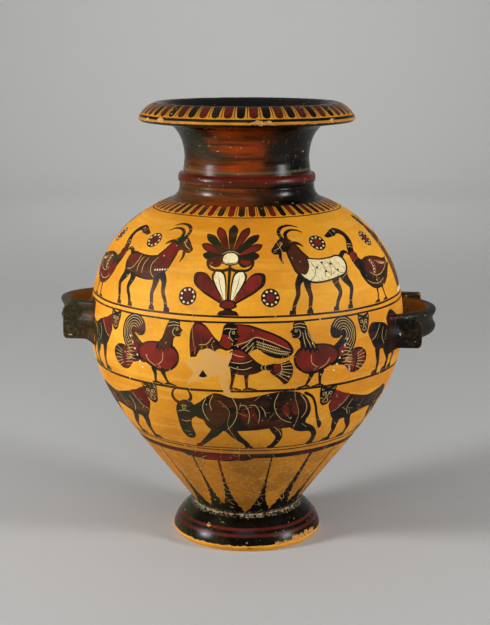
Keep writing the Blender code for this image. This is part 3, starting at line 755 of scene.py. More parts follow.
def cracks():
    """Fine joins and scratches that cross the wall, level with their place down it."""
    cut("-29,-58 -29.5,-74 -28,-90 -28.6,-118 -27,-131", "6,-248 15,-262 24,-281 33,-300",
        "22,-252 12,-270 -2,-290", "88,-84 101,-77 113,-66", "60,-150 54,-171 57,-190 49,-214",
        "-8,-176 0,-186 -2,-201 6,-226 4,-247", "30,-262 44,-258 61,-270", "-40,-262 -22,-266 -8,-276",
        width=0.32, colour="crack")
    cut("-70,-160 -62,-176 -66,-198", "70,-199 84,-206 90,-221", "34,-40 42,-56 39,-72", width=0.3,
        colour="crack")


place(cracks, 0, 0)


def scratch(run, drop, width):
    drawing.append(("incised", stroke_edge(np.array([(0, 0), (run * 0.5, drop * 0.45), (run, drop)]),
                                           np.array([0.12, width, 0.12]))))


knocks = np.random.default_rng(7)
scratched_zones = (    # count, lengths, angles, crowding to the first angle, places down the wall, widths
    (190, (2.5, 12), (-80, 80), 1.0, (246, 318), (0.22, 0.5)),
    (84, (3, 11), (75, -55), 1.6, (150, 240), (0.18, 0.3)))
for count, lengths, (first, last), crowding, levels, widths in scratched_zones:
    for i in range(count):
        length, lean = knocks.uniform(*lengths), knocks.uniform(-1.4, 1.4)
        place(scratch, first + (last - first) * knocks.uniform() ** crowding, knocks.uniform(*levels),
              run=length * cos(lean), drop=length * sin(lean), width=knocks.uniform(*widths))


# Damage: chips out of the lip's edge and the foot, as shallow dents with the bare clay showing, and
# slip flaked off the rays and knocked off figures and bands.
chips = [    # angle from the front, place down the wall, half width, half height, depth, in millimetres
    (11.5, -106.6, 6.0, 2.6, 1.1), (17.0, -107.4, 3.0, 1.6, 0.7), (-44.0, -107.2, 5.5, 2.4, 1.0),
    (-57.0, -106.4, 3.6, 2.0, 0.8), (55.0, -106.8, 2.6, 2.2, 0.9), (128.0, -106.6, 5.0, 2.4, 1.0),
    (-137.0, -107.0, 4.2, 2.2, 0.8), (8.6, 364.4, 3.4, 1.6, 0.9), (-28.0, 346.0, 2.2, 1.2, 0.4)]


def chip_edge(angle, level, half_width, half_height, share):
    """A ragged closed line round a chip."""
    turn = np.linspace(0, 2 * pi, 22 if half_width > 1.8 else 9, endpoint=False)
    ragged = share * (1 + 0.16 * np.sin(3 * turn + angle) + 0.1 * np.sin(7 * turn + level))
    sideways = half_width * ragged * np.cos(turn)
    down_wall = level + half_height * ragged * np.sin(turn)
    return np.c_[(radians(angle) + sideways / radius_at(down_wall)) * chart_radius, down_wall]


for angle, level, half_width, half_height, depth in chips:
    for share in (1.0, 0.7, 0.4):
        painted.append(("bare", chip_edge(angle, level, half_width, half_height, share)))
for angle, stem, top in front_rays:
    for i in range(8):    # slip flaked off a ray
        painted.append(("clay", chip_edge(angle + knocks.normal(0, 2.6), knocks.uniform(262, 322),
                                          knocks.uniform(0.4, 1.3), knocks.uniform(0.4, 1.2), 1.0)))
for i in range(70):    # slip knocked off figures and bands, most of it low on the right
    painted.append(("bare", chip_edge(knocks.uniform(-50, 75), knocks.uniform(150, 246),
                                      knocks.uniform(0.25, 0.7), knocks.uniform(0.2, 0.6), 1.0)))


def dent(place_round, level):
    """Depth of the chips at places on the unrolled wall, in millimetres."""
    deep = np.zeros_like(level)
    for angle, middle, half_width, half_height, depth in chips:
        sideways = (place_round / chart_radius - radians(angle)) * radius_at(level) / half_width
        reach = np.clip(1 - (sideways ** 2 + ((level - middle) / half_height) ** 2) * 0.8, 0, 1)
        deep = np.maximum(deep, depth * np.sqrt(reach))
    return deep


# Painted surface: the unrolled wall is cut along every painted edge and rolled up on the outline, and
# the inside and the underside of the foot close it to one skin of fired clay.
columns = 180
# up to each place down the wall, the step from row to row, in millimetres
row_spacing = ((-100.0, 1.4), (-38.0, 3.2), (-16.0, 1.3), (20.0, 2.4), (322.0, 3.4), (400.0, 1.5))
clearance = 1.0    # a grid point gives way to a painted edge's point in its square, this wide


def outer_surface(place_round, level):
    """Points on the outside of the wall, in metres, from places on the unrolled wall."""
    turn = place_round / chart_radius
    slope = np.c_[np.interp(level + 0.15, down, outline[:, 0]) - np.interp(level - 0.15, down, outline[:, 0]),
                  np.interp(level + 0.15, down, outline[:, 1]) - np.interp(level - 0.15, down, outline[:, 1])]
    slope /= np.maximum(np.hypot(*slope.T), 1e-12)[:, None]
    deep = dent(place_round, level) / 1000
    radius = np.interp(level, down, outline[:, 0]) + slope[:, 1] * deep
    height = np.interp(level, down, outline[:, 1]) - slope[:, 0] * deep
    return np.c_[radius * np.sin(turn), -radius * np.cos(turn), height]


def chart_points():
    """Grid points of the unrolled wall and the painted edges, with the edges to keep."""
    rounds = (np.arange(columns + 1) / columns - 0.5) * 2 * pi * chart_radius
    levels = [down[0]]
    while levels[-1] < down[-1] - 0.5:
        step = next(size for until, size in row_spacing if levels[-1] < until)
        levels.append(min(levels[-1] + step, down[-1]))
    corners = [value for value in down if value < -100 or -34.5 < value < -22 or value > 359]
    levels = sorted({round(float(value), 3) for value in levels + corners})
    levels = [levels[0]] + [b for a, b in zip(levels, levels[1:]) if b - a > 0.3 or b == levels[-1]]
    points, edges = [], []
    for colour, area_points in painted:
        first = len(points)
        points.extend(map(tuple, area_points))
        count = len(area_points)
        edges.extend((first + i, first + (i + 1) % count) for i in range(count))
    taken = {(floor(x / clearance), floor(y / clearance)) for x, y in points}
    for level in levels:
        for i, x in enumerate(rounds):
            at_edge = i in (0, columns) or level in (levels[0], levels[-1])
            if at_edge or (floor(x / clearance), floor(level / clearance)) not in taken:
                points.append((float(x), level))
    return points, edges


def inside(points, edge):
    """Which points lie in a closed line."""
    found = np.zeros(len(points), bool)
    x, y = points[:, 0], points[:, 1]
    following = np.roll(edge, -1, axis=0)
    for (x0, y0), (x1, y1) in zip(edge, following):
        if y0 != y1:
            crossing = (y0 > y) != (y1 > y)
            found ^= crossing & (x < (x1 - x0) * (y - y0) / (y1 - y0) + x0)
    return found


layers = {    # how much slip, red, cream, scratched line, plaster and bare clay
    "clay": (0, 0, 0, 0, 0, 0), "slip": (1, 0, 0, 0, 0, 0), "brown": (1, 0.34, 0, 0, 0, 0),
    "red": (1, 1, 0, 0, 0, 0), "crack": (0.5, 0, 0, 0.55, 0, 0), "cream": (1, 0, 1, 0, 0, 0),
    "incised": (0, 0, 0, 1, 0, 0), "plaster": (0, 0, 0, 0, 1, 0), "bare": (0, 0, 0, 0, 0, 1)}
names = list(layers)
points, edges = chart_points()
chart, _, triangles, *_ = delaunay_2d_cdt([Vector(p) for p in points], edges, [], 0, 0.002, False)
chart = np.array(chart)
triangles = np.array(triangles)[:, ::-1]
half_round = pi * chart_radius
spans = chart[triangles]
spread = np.ptp(spans, axis=1)
# slivers along the cut and along both ends, which are dropped
flat = (spread[:, 0] < 1e-3) & (np.abs(spans[:, 0, 0]) > half_round - 1e-3)
flat |= (spread[:, 1] < 1e-3) & ((spans[:, 0, 1] < down[0] + 1e-3) | (spans[:, 0, 1] > down[-1] - 1e-3))
triangles = triangles[~flat]
middles = chart[triangles].mean(axis=1)
kinds = np.zeros(len(triangles), int)
for colour, edge in painted:
    near = np.flatnonzero(((middles > edge.min(axis=0)) & (middles < edge.max(axis=0))).all(axis=1))
    kinds[near[inside(middles[near], edge)]] = names.index(colour)

seam = {round(float(chart[i, 1]), 3): i for i in np.flatnonzero(chart[:, 0] < -half_round + 1e-3)}
weld = np.arange(len(chart))
for i in np.flatnonzero(chart[:, 0] > half_round - 1e-3):
    weld[i] = seam[round(float(chart[i, 1]), 3)]
triangles = weld[triangles]
spots = outer_surface(chart[:, 0], chart[:, 1])
nudge = 0.12    # millimetres to either side of a point, for the slopes that give its normal
level_steps = [outer_surface(chart[:, 0], np.clip(chart[:, 1] + s * nudge, down[0], down[-1]))
               for s in (-1, 1)]
round_steps = [outer_surface(chart[:, 0] + s * nudge, chart[:, 1]) for s in (-1, 1)]
normals = np.cross(level_steps[1] - level_steps[0], round_steps[1] - round_steps[0])


last_ring = 0.004    # radius of the last ring before a closed middle


def inner_outline():
    """Inside of the jar, from the mouth's rim down to the middle of the floor."""
    body = body_outline()[::8]
    step = np.gradient(body, axis=0)
    step /= np.hypot(*step.T)[:, None]
    body = body + np.c_[step[:, 1], -step[:, 0]] * wall
    floor_level = foot_height + floor_thickness
    body = body[(body[:, 1] > floor_level + wall) & (body[:, 1] < body_top - wall * 1.2)]
    throat = neck_root_radius - neck_wall
    neck = [(mouth_radius - rim_width - neck_wall * 0.3, mouth_top - rim_width),
            (neck_radius, mouth_top - funnel_depth),
            (neck_radius - neck_wall * 0.8, neck_top - neck_height * 0.18),
            (neck_radius - neck_wall, body_top + neck_waist_height),
            (throat, body_top + ring_height - ring_width),
            (throat + (shoulder_radius - throat) * 0.35, body_top - wall * 0.55)]
    neck = smooth(neck, [False] * len(neck), False)
    base = [(body[-1, 0] - floor_thickness, floor_level + wall * 0.15), (last_ring, floor_level)]
    return np.vstack([neck, body, base])


def under_outline():
    """Underside of the foot, from the resting edge up into the hollow."""
    inner = foot_rest_radius - foot_rest_width
    hollow = [(inner * 0.97, foot_recess_height * 0.12), (inner * 0.86, foot_recess_height * 0.62),
              (inner * 0.5, foot_recess_height * 0.94), (last_ring, foot_recess_height)]
    return np.vstack([[(inner + 0.001, 0.0)], hollow])


def add_rings(rings, boundary, facing):
    """Carries the wall on from its boundary through further rings to a closed middle."""
    global spots, normals
    turn = (np.arange(columns) / columns - 0.5) * 2 * pi
    across = np.c_[np.sin(turn), -np.cos(turn)]
    slope = np.gradient(rings, axis=0) * facing
    lines, faces = [np.array(boundary)], []
    for (radius, height), (run, rise) in zip(rings, slope):
        lines.append(len(spots) + np.arange(columns))
        spots = np.vstack([spots, np.c_[radius * across, np.full(columns, height)]])
        normals = np.vstack([normals, np.c_[-rise * across, np.full(columns, run)]])
    for upper, lower in zip(lines, lines[1:]):
        a, b, c, d = upper, np.roll(upper, -1), np.roll(lower, -1), lower
        faces += [np.c_[a, b, c], np.c_[a, c, d]]
    spots = np.vstack([spots, [(0.0, 0.0, rings[-1][1])]])
    normals = np.vstack([normals, [(0.0, 0.0, slope[-1][0])]])
    faces.append(np.c_[lines[-1], np.roll(lines[-1], -1), np.full(columns, len(spots) - 1)])
    return np.vstack(faces)


def boundary_ring(level):
    """Points of the unrolled wall along its upper or lower end, in order round it."""
    found = np.flatnonzero((abs(chart[:, 1] - level) < 1e-3) & (chart[:, 0] < half_round - 1e-3))
    return sorted(found, key=lambda i: chart[i, 0])


slip_depth = 0.062    # how far down the neck's inside is painted
inner_faces = add_rings(inner_outline(), boundary_ring(down[0]), -1)
under_faces = add_rings(under_outline(), boundary_ring(down[-1]), 1)[:, ::-1]
inner_kinds = np.where(spots[inner_faces][:, :, 2].min(axis=1) > mouth_top - slip_depth, names.index("slip"),
                       names.index("clay"))
under_kinds = np.full(len(under_faces), names.index("clay"))
normals /= np.maximum(np.linalg.norm(normals, axis=1), 1e-12)[:, None]
triangles = np.vstack([triangles, inner_faces, under_faces])
kinds = np.concatenate([kinds, inner_kinds, under_kinds])
used = np.unique(triangles)
renumber = np.zeros(len(spots), int)
renumber[used] = np.arange(len(used))
spots, normals, triangles = spots[used], normals[used], renumber[triangles]

mesh = bpy.data.meshes.new("jar_wall")
mesh.from_pydata(spots.tolist(), [], triangles.tolist())
mesh.shade_smooth()
codes = np.array([layers[name] for name in names], np.float32)[kinds]
for name, part in (("paint", codes[:, :3]), ("state", codes[:, 3:])):
    mesh.attributes.new(name, "FLOAT_VECTOR", "FACE").data.foreach_set("vector", part.ravel())
mesh.normals_split_custom_set_from_vertices(normals.tolist())
jar = bpy.data.objects.new("jar_wall", mesh)
bpy.context.scene.collection.objects.link(jar)


# Painted terracotta: orange clay under glossy black slip with added red and cream, fired once.
# Thick slip is black and thin slip brown; it is scratched, flecked and worn through at the edges.
clay_light, clay_deep, clay_brown = (0.80, 0.350, 0.020), (0.62, 0.228, 0.010), (0.30, 0.112, 0.012)
clay_low_tone_and_shade, clay_pale, clay_crack = (0.42, 0.148, 0.010), (0.88, 0.47, 0.06), (0.16, 0.055, 0.015)
slip_black, slip_olive, slip_brown = (0.0032, 0.0024, 0.0018), (0.021, 0.019, 0.006), (0.038, 0.012, 0.003)
slip_rust, slip_flame, slip_blotch = (0.14, 0.032, 0.005), (0.32, 0.040, 0.003), (0.085, 0.064, 0.030)
red_colour, red_dark, red_dull = (0.185, 0.014, 0.007), (0.075, 0.010, 0.005), (0.055, 0.008, 0.004)
cream_colour, cream_worn = (0.80, 0.69, 0.40), (0.56, 0.38, 0.14)
incised_colour, plaster_colour, bare_colour = (0.62, 0.40, 0.15), (0.64, 0.35, 0.11), (0.60, 0.30, 0.08)
fleck_colour, dust_colour, scuff_colour = (0.66, 0.50, 0.26), (0.13, 0.12, 0.065), (0.42, 0.36, 0.25)
# Heights in metres where each zone starts to show and where it shows fully.
neck_zone, lip_zone, foot_zone = (0.298, 0.304), (0.352, 0.360), (0.030, 0.027)
low_shade_zone, shade_above_rest_zone, low_wear_zone = (0.140, 0.070), (0.008, 0.018), (0.125, 0.085)
handle_zone = (0.1375, 0.1405)    # the same, out from the jar's middle plane
slip_refraction = 1.22


class Socket:
    """An output of a material's nodes, so that sums and products of masks are written as such."""

    def __init__(self, tree, output=None):
        self.tree = tree
        self.output = output

    def node(self, kind, settings, values, output=0):
        """One output of any node, from its settings, and the values or links of its inputs."""
        made = self.tree.nodes.new(kind)
        for name, value in settings.items():
            setattr(made, name, value)
        for name, value in values.items():
            if isinstance(value, Socket):
                self.tree.links.new(value.output, made.inputs[name])
            elif isinstance(value, tuple) and len(made.inputs[name].default_value) == 4:
                made.inputs[name].default_value = (*value, 1.0)
            else:
                made.inputs[name].default_value = value
        return Socket(self.tree, made.outputs[output])

    def math(self, operation, first, second=0.0):
        return self.node("ShaderNodeMath", {"operation": operation}, {0: first, 1: second})

    def __add__(self, other):
        return self.math("ADD", self, other)

    def __sub__(self, other):
        return self.math("SUBTRACT", self, other)

    def __rsub__(self, other):
        return self.math("SUBTRACT", other, self)

    def __mul__(self, other):
        return self.math("MULTIPLY", self, other)

    def __abs__(self):
        return self.math("ABSOLUTE", self)

    __radd__ = __add__
    __rmul__ = __mul__

    def between(self, low, high):
        """0 below low, 1 above high, and smooth between; turned round if low is above high."""
        if low > high:
            return 1 - self.between(high, low)
        return self.node("ShaderNodeMapRange", {"interpolation_type": "SMOOTHSTEP"},
                         {0: self, 1: low, 2: high})

    def mix(self, under, over):
        """The colour over laid on the colour under, as thick as this mask."""
        return self.node("ShaderNodeMix", {"data_type": "RGBA"}, {0: self, 6: under, 7: over}, 2)

    def noise(self, scale, detail, roughness=0.55, distortion=0.0):
        """Noise at this place."""
        return self.node("ShaderNodeTexNoise", {}, {"Vector": self, "Scale": scale, "Detail": detail,
                                                    "Roughness": roughness, "Distortion": distortion})

    def stretched(self, scale, turn=(0.0, 0.0, 0.0)):
        """This place, turned and scaled."""
        return self.node("ShaderNodeMapping", {}, {"Vector": self, "Rotation": turn, "Scale": scale})

    def parts(self):
        """The three numbers of a place or an attribute."""
        return [self.node("ShaderNodeSeparateXYZ", {}, {0: self}, axis) for axis in range(3)]


def terracotta(name):
    material = bpy.data.materials.new(name)
    material.use_nodes = True
    tree = material.node_tree
    shader = tree.nodes["Principled BSDF"]
    make = Socket(tree)
    place = make.node("ShaderNodeTexCoord", {}, {}, "Object")
    across = place.stretched((1.0, 1.0, 5.0))
    along = place.stretched((1.0, 1.0, 0.16), (0.5, 0.3, 0.2))
    sideways, depth, height = place.parts()
    paint, state = (make.node("ShaderNodeAttribute", {"attribute_name": layer}, {}, "Vector")
                    for layer in ("paint", "state"))
    slip, red, cream = paint.parts()
    incised, plaster, bare = state.parts()

    drift = place.noise(9.0, 2.0)
    patches = place.noise(34.0, 4.0, 0.6, 0.6)
    wheel = across.noise(40.0, 4.0)
    fine = place.noise(420.0, 5.0, 0.65)
    grain = place.noise(1500.0, 3.0, 0.7)
    streaks = place.stretched((1.0, 1.0, 11.0)).noise(13.0, 6.0, 0.62)
    dots = place.noise(300.0, 1.0, 0.4)
    dashes = across.noise(190.0, 1.0, 0.4)
    scrape = across.noise(190.0, 4.0, 0.6).between(0.60, 0.70)
    hairline = 1 - abs(along.noise(60.0, 2.0, 0.5, 0.3) - 0.5).between(0.0006, 0.0022)
    crack = 1 - abs(across.noise(26.0, 3.0, 0.6, 1.6) - 0.5).between(0.0004, 0.0020)

    neck = height.between(*neck_zone)
    gloss = neck + height.between(*foot_zone)
    on_handle = abs(sideways).between(*handle_zone)
    # Painted shade low on the body, where the wall turns under, together with the clay's own browner tone
    # there; it stops above the foot's edge, which is left bright where light from the floor falls on it.
    low_tone_and_shade = height.between(*low_shade_zone) * height.between(*shade_above_rest_zone)
    low_wear = height.between(*low_wear_zone)
    low_right = height.between(0.24, 0.19) * sideways.between(0.0, 0.06)

    clay = drift.between(0.38, 0.64).mix(clay_deep, clay_light)
    clay = (patches.between(0.42, 0.7) * 0.25).mix(clay, clay_brown)
    clay = (wheel.between(0.5, 0.72) * 0.22).mix(clay, clay_deep)
    clay = (streaks.between(0.50, 0.62) * 0.28).mix(clay, clay_pale)
    # Painted shade and the clay's own browner tone, low on the body: darker, browner and more flecked towards
    # the bottom.
    clay = (low_tone_and_shade * 0.62).mix(clay, clay_low_tone_and_shade)
    clay = (low_tone_and_shade * patches.between(0.42, 0.60) * 0.65).mix(clay, clay_brown)
    clay = (fine.between(0.5, 0.66) * (0.12 + 0.6 * low_tone_and_shade)).mix(clay, clay_brown)
    clay = (height.between(*lip_zone) * (0.40 + 0.3 * patches.between(0.4, 0.6))).mix(clay, clay_brown)
    clay = (crack * 0.3).mix(clay, clay_crack)
    rubbed = scrape * (0.08 + 0.9 * low_wear + 0.5 * low_right)
    clay = (rubbed * 0.5).mix(clay, fleck_colour)

    flat_place = place.stretched((1.0, 1.0, 0.0))
    radius = make.node("ShaderNodeVectorMath", {"operation": "LENGTH"}, {0: flat_place}, "Value")
    aside = sideways + (patches - 0.5) * 0.06 + (streaks - 0.5) * 0.07 + height.between(0.338, 0.322) * 0.010
    front = neck * depth.between(-0.010, -0.030) * radius.between(0.0528, 0.0538)
    front = front * height.between(0.370, 0.365)
    dark_left = height.between(0.326, 0.350) * aside.between(-0.010, -0.030)
    rust_neck = front * aside.between(0.046, 0.004) * (1 - dark_left)
    rust_neck = rust_neck * (0.30 + 0.70 * streaks.between(0.38, 0.62))
    rust_neck = rust_neck * (0.6 + 0.4 * height.between(0.316, 0.330))
    flame = front * aside.between(-0.028, 0.006) * aside.between(0.040, -0.004) * streaks.between(0.38, 0.62)
    flame = flame * (0.45 + 0.55 * height.between(0.316, 0.330))
    thin = drift.between(0.48, 0.66) * patches.between(0.36, 0.6) * height.between(0.05, 0.08)
    olive = drift.between(0.58, 0.44) * sideways.between(0.05, -0.03)
    olive = make.math("MAXIMUM", olive, on_handle * fine.between(0.42, 0.6) * 0.8)
    rusty = streaks.between(0.46, 0.60) * (0.45 + 0.55 * sideways.between(0.05, -0.05))
    rusty = rusty * height.between(0.06, 0.10) * (1 - neck) * (1 - 0.85 * on_handle)
    rusty = rusty * patches.between(0.36, 0.56) * 0.6
    black = olive.mix(slip_black, slip_olive)
    black = (thin * (1 - neck) * (1 - 0.6 * on_handle)).mix(black, slip_brown)
    black = make.math("MAXIMUM", rusty, rust_neck).mix(black, slip_rust)
    black = flame.mix(black, slip_flame)
    blotched = on_handle * fine.between(0.46, 0.60) * patches.between(0.34, 0.56)
    blotched = blotched * (0.3 + 0.7 * sideways.between(0.0, -0.1))
    black = (blotched * 0.65).mix(black, slip_blotch)
    maroon = patches.between(0.36, 0.62).mix(red_colour, red_dark)
    maroon = (gloss * 0.65).mix(maroon, red_dull)
    maroon = red.between(0.4, 0.8).mix(slip_rust, maroon)
    bone = (fine.between(0.45, 0.62) * patches.between(0.4, 0.6)).mix(cream_colour, cream_worn)

    worn = hairline * patches.between(0.50, 0.58) * (0.6 - 0.45 * gloss) * (1 - on_handle)
    low_flakes = 1.5 * height.between(0.110, 0.080) * height.between(0.026, 0.034)
    flaking = 1.1 + low_flakes * patches.between(0.38, 0.55)
    cover = (slip + (fine - 0.5) * flaking).between(0.40, 0.62) * (1 - worn * 0.85)
    colour = cover.mix(clay, black)
    colour = (red * (1 - worn * 0.6)).mix(colour, maroon)
    colour = (cream * (1 - fine.between(0.62, 0.68) * 0.9)).mix(colour, bone)
    colour = incised.mix(colour, incised_colour)
    colour = plaster.mix(colour, (fine.between(0.4, 0.65) * 0.5).mix(plaster_colour, clay_light))
    colour = bare.mix(colour, (fine.between(0.4, 0.6) * 0.7).mix(bare_colour, clay_brown))
    specks = (dots.between(0.755, 0.77) * (1 - 0.6 * gloss) + dashes.between(0.765, 0.78) * gloss) * slip
    colour = (specks * 0.8).mix(colour, fleck_colour)
    ring_dust = height.between(0.3272, 0.3282) * height.between(0.3304, 0.3294) * patches.between(0.30, 0.44)
    colour = (ring_dust * 0.4).mix(colour, dust_colour)
    joint_scuff = height.between(0.0252, 0.0264) * height.between(0.0325, 0.0285) * fine.between(0.48, 0.56)
    colour = (joint_scuff * patches.between(0.36, 0.50) * 0.65).mix(colour, scuff_colour)

    rough = 0.58 - (0.10 + 0.26 * gloss) * cover + 0.06 * red + 0.06 * cream + 0.06 * plaster + 0.2 * bare
    rough = rough + 0.14 * (fine - 0.5) + 0.3 * gloss * (wheel - 0.45)
    relief = 0.5 * wheel + 0.35 * fine + 0.12 * grain + 0.25 * cover - 0.5 * incised - 0.3 * hairline
    bump = make.node("ShaderNodeBump", {}, {"Strength": 0.35, "Distance": 0.00035, "Height": relief})
    tree.links.new(colour.output, shader.inputs["Base Color"])
    tree.links.new(rough.output, shader.inputs["Roughness"])
    tree.links.new(bump.output, shader.inputs["Normal"])
    shader.inputs["IOR"].default_value = slip_refraction
    return material


painted_terracotta = terracotta("painted_terracotta")
jar.data.materials.append(painted_terracotta)
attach(jar, "root")
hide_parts("hydria")


# Side handles: each a round strap thrown as a ring, cut and bowed out from the belly, with an
# upright plate of clay luted between the wall and each arm of the bow, all brushed with slip.
plate_length = 0.0158
plate_thickness = 0.0080
plate_spacing = 0.0985
root_rise = 0.0055
root_swell = 0.0030
root_length = 0.0075
strap_overhang = 0.0126
strap_radius = 0.0610
strap_height = 0.0235
strap_thickness = 0.0060
strap_hollow = 0.0026
low_corner_radius = 0.0042
near_corner_cut = 0.0046
far_corner_cut = 0.0014
plate_reach = belly_radius + plate_length
strap_reach = plate_reach + strap_overhang - 0.0001
turning_centre = strap_reach - strap_hollow - strap_thickness / 2 - strap_radius
skin_grain = 0.0007
belly_curve = body_outline()[::-1]


def wall_radius(height):
    """Outer radius of the body at a height."""
    return float(np.interp(height, belly_curve[:, 1], belly_curve[:, 0]))


def side_strap(name, centre):
    """The bowed strap, spun from its section: a beaded rim, a hollow face and a rounded foot."""
    root = wall_radius(centre) - wall / 2
    root_run = (root ** 2 - strap_radius ** 2 + turning_centre ** 2) / (2 * turning_centre)
    end_angle = acos((root_run - turning_centre) / strap_radius)
    half = strap_thickness / 2
    swell = strap_hollow
    corners = [    # out from the middle of the strap, and down as a share of its height
        (-half, -0.12), (-half * 0.4, -0.02), (half * 0.5, 0.0), (half + swell * 0.7, -0.05),
        (half + swell, -0.14), (half + swell * 0.7, -0.25), (half, -0.37), (half, -0.52),
        (half + swell, -0.72), (half + swell * 0.6, -0.88), (half * 0.5, -1.0), (-half * 0.5, -0.99),
        (-half, -0.86)]
    bpy.ops.mesh.primitive_circle_add(vertices=len(corners), radius=half, fill_type="NGON")
    strap = bpy.context.object
    strap.name = name
    for vertex, (out, drop) in zip(strap.data.vertices, corners):
        radius = strap_radius + out
        vertex.co = (turning_centre + radius * cos(end_angle), -radius * sin(end_angle),
                     centre + strap_height * (0.5 + drop))
    bpy.ops.object.mode_set(mode="EDIT")
    bpy.ops.mesh.select_all(action="SELECT")
    bpy.ops.mesh.spin(steps=60, angle=-2 * end_angle, center=(turning_centre, 0, centre), axis=(0, 0, 1))
    bpy.ops.mesh.select_all(action="SELECT")
    bpy.ops.mesh.normals_make_consistent(inside=False)
    bpy.ops.object.mode_set(mode="OBJECT")
    for vertex in strap.data.vertices:
        angle = atan2(vertex.co.y, vertex.co.x - turning_centre)
        radius = hypot(vertex.co.x - turning_centre, vertex.co.y)
        beyond = max(radius - strap_radius - half, 0) * 0.5 * (angle / end_angle) ** 4
        vertex.co.x -= beyond * cos(angle)
        vertex.co.y -= beyond * sin(angle)
        if abs(angle) > end_angle - 0.001:
            bury = sqrt((wall_radius(vertex.co.z) - wall / 2) ** 2 - vertex.co.y ** 2)
            vertex.co.x = min(vertex.co.x, bury)
    return strap


def pick_edges(piece, wanted):
    """Goes into edit mode on a piece with only the wanted edges selected, each told by its two ends."""
    mesh = piece.data
    for part in (*mesh.vertices, *mesh.edges, *mesh.polygons):
        part.select = False
    for edge in mesh.edges:
        edge.select = wanted(*(mesh.vertices[i].co for i in edge.vertices))
    bpy.context.tool_settings.mesh_select_mode = (False, True, False)
    bpy.ops.object.mode_set(mode="EDIT")


def side_plate(name, side, corner_cut, height, centre):
    """An upright plate that flares into the wall at its root and has its outer corners pared."""
    bpy.ops.mesh.primitive_cube_add(size=1.0)
    plate = bpy.context.object
    plate.name = name
    pick_edges(plate, lambda a, b: abs(a.x - b.x) > 0.5)
    bpy.ops.mesh.subdivide(number_cuts=7)
    bpy.ops.object.mode_set(mode="OBJECT")
    for vertex in plate.data.vertices:
        share = vertex.co.x + 0.5
        out = share * (root_length * 1.2 + wall / 2) - wall / 2
        spread = max(0.0, 1 - max(out, 0) / root_length) ** 1.8
        across = side * plate_spacing / 2 + vertex.co.y * (plate_thickness + spread * root_swell * 2)
        level = centre + vertex.co.z * (height + spread * root_rise * 2)
        root = sqrt((wall_radius(level) + out) ** 2 - across ** 2)
        vertex.co = (plate_reach if share > 0.99 else root, across, level)
    for low, paring, segments in ((True, low_corner_radius, 4), (False, corner_cut, 1)):
        pick_edges(plate, lambda a, b: min(a.x, b.x) > plate_reach - 1e-5 and abs(a.z - b.z) < 1e-5
                   and (a.z < centre) == low)
        bpy.ops.mesh.bevel(offset=paring, segments=segments, profile=0.5, affect="EDGES")
        bpy.ops.object.mode_set(mode="OBJECT")
    bpy.ops.object.mode_set(mode="EDIT")
    bpy.ops.mesh.select_all(action="SELECT")
    bpy.ops.mesh.normals_make_consistent(inside=False)
    bpy.ops.object.mode_set(mode="OBJECT")
    return plate


def rolled_and_turned(level, roll, turn):
    """Rolls a form about the radius through a height, then turns it to its side of the jar."""
    rolled = Matrix.Translation((0, 0, level)) @ Matrix.Rotation(roll, 4, "X")
    return Matrix.Rotation(turn, 4, "Z") @ rolled @ Matrix.Translation((0, 0, -level))


def one_skin(name, pieces, grain, rounds):
    """Joins soft clay forms into one skin and rubs down where they meet."""
    bpy.ops.object.select_all(action="DESELECT")
    for piece in pieces:
        piece.select_set(True)
    bpy.context.view_layer.objects.active = pieces[0]
    bpy.ops.object.join()
    whole = bpy.context.object
    whole.name = name
    whole.data.name = name
    skin = whole.modifiers.new("skin", "REMESH")
    skin.mode = "VOXEL"
    skin.voxel_size = grain
    bpy.ops.object.modifier_apply(modifier=skin.name)
    rubbed = whole.modifiers.new("rubbed", "SMOOTH")
    rubbed.factor = 0.5
    rubbed.iterations = rounds
    bpy.ops.object.modifier_apply(modifier=rubbed.name)
    whole.data.shade_smooth()
    return whole


edge_wear = 0.00006    # how far an edge stands out of its neighbours where its slip is clearly thinner
flush_reach = 0.006    # how far from the wall the reddish flush ends


def brush_with_slip(piece, red_near_wall):
    """Slip over a handle, thinner along its edges and inside, with a reddish flush next to the wall."""
    mesh = piece.data
    count = len(mesh.vertices)
    spots = np.array([vertex.co for vertex in mesh.vertices], float)
    facing = np.array([normal.vector for normal in mesh.vertex_normals], float)
    pairs = np.array([edge.vertices for edge in mesh.edges])
    touching = np.bincount(pairs.ravel(), minlength=count)

    def around(values):
        """Sum of a value over the neighbours of each vertex."""
        return sum(np.bincount(pairs[:, a], values[pairs[:, 1 - a]], count) for a in (0, 1))

    near = np.transpose([around(spots[:, axis]) for axis in range(3)]) / touching[:, None]
    edge = -((near - spots) * facing).sum(axis=1)
    for i in range(3):
        edge = (edge + around(edge)) / (1 + touching)
    thin = np.clip(edge / edge_wear - 0.35, 0, 1)
    reach = np.hypot(spots[:, 0], spots[:, 1])
    out = reach - np.interp(spots[:, 2], belly_curve[:, 1], belly_curve[:, 0])
    flush = red_near_wall * np.clip(1 - out / flush_reach, 0, 1)
    inward = -(facing[:, :2] * spots[:, :2]).sum(axis=1) / reach
    wiped = 0.42 * np.clip((inward - 0.2) / 0.5, 0, 1) * np.clip(out / 0.004, 0, 1)
    none = np.zeros(count)
    for name, values in (("paint", (1 - 0.5 * thin, flush, none)), ("state", (none, none, wiped))):
        layer = mesh.attributes.new(name, "FLOAT_VECTOR", "POINT")
        layer.data.foreach_set("vector", np.transpose(values).ravel())
    mesh.materials.clear()
    mesh.materials.append(painted_terracotta)


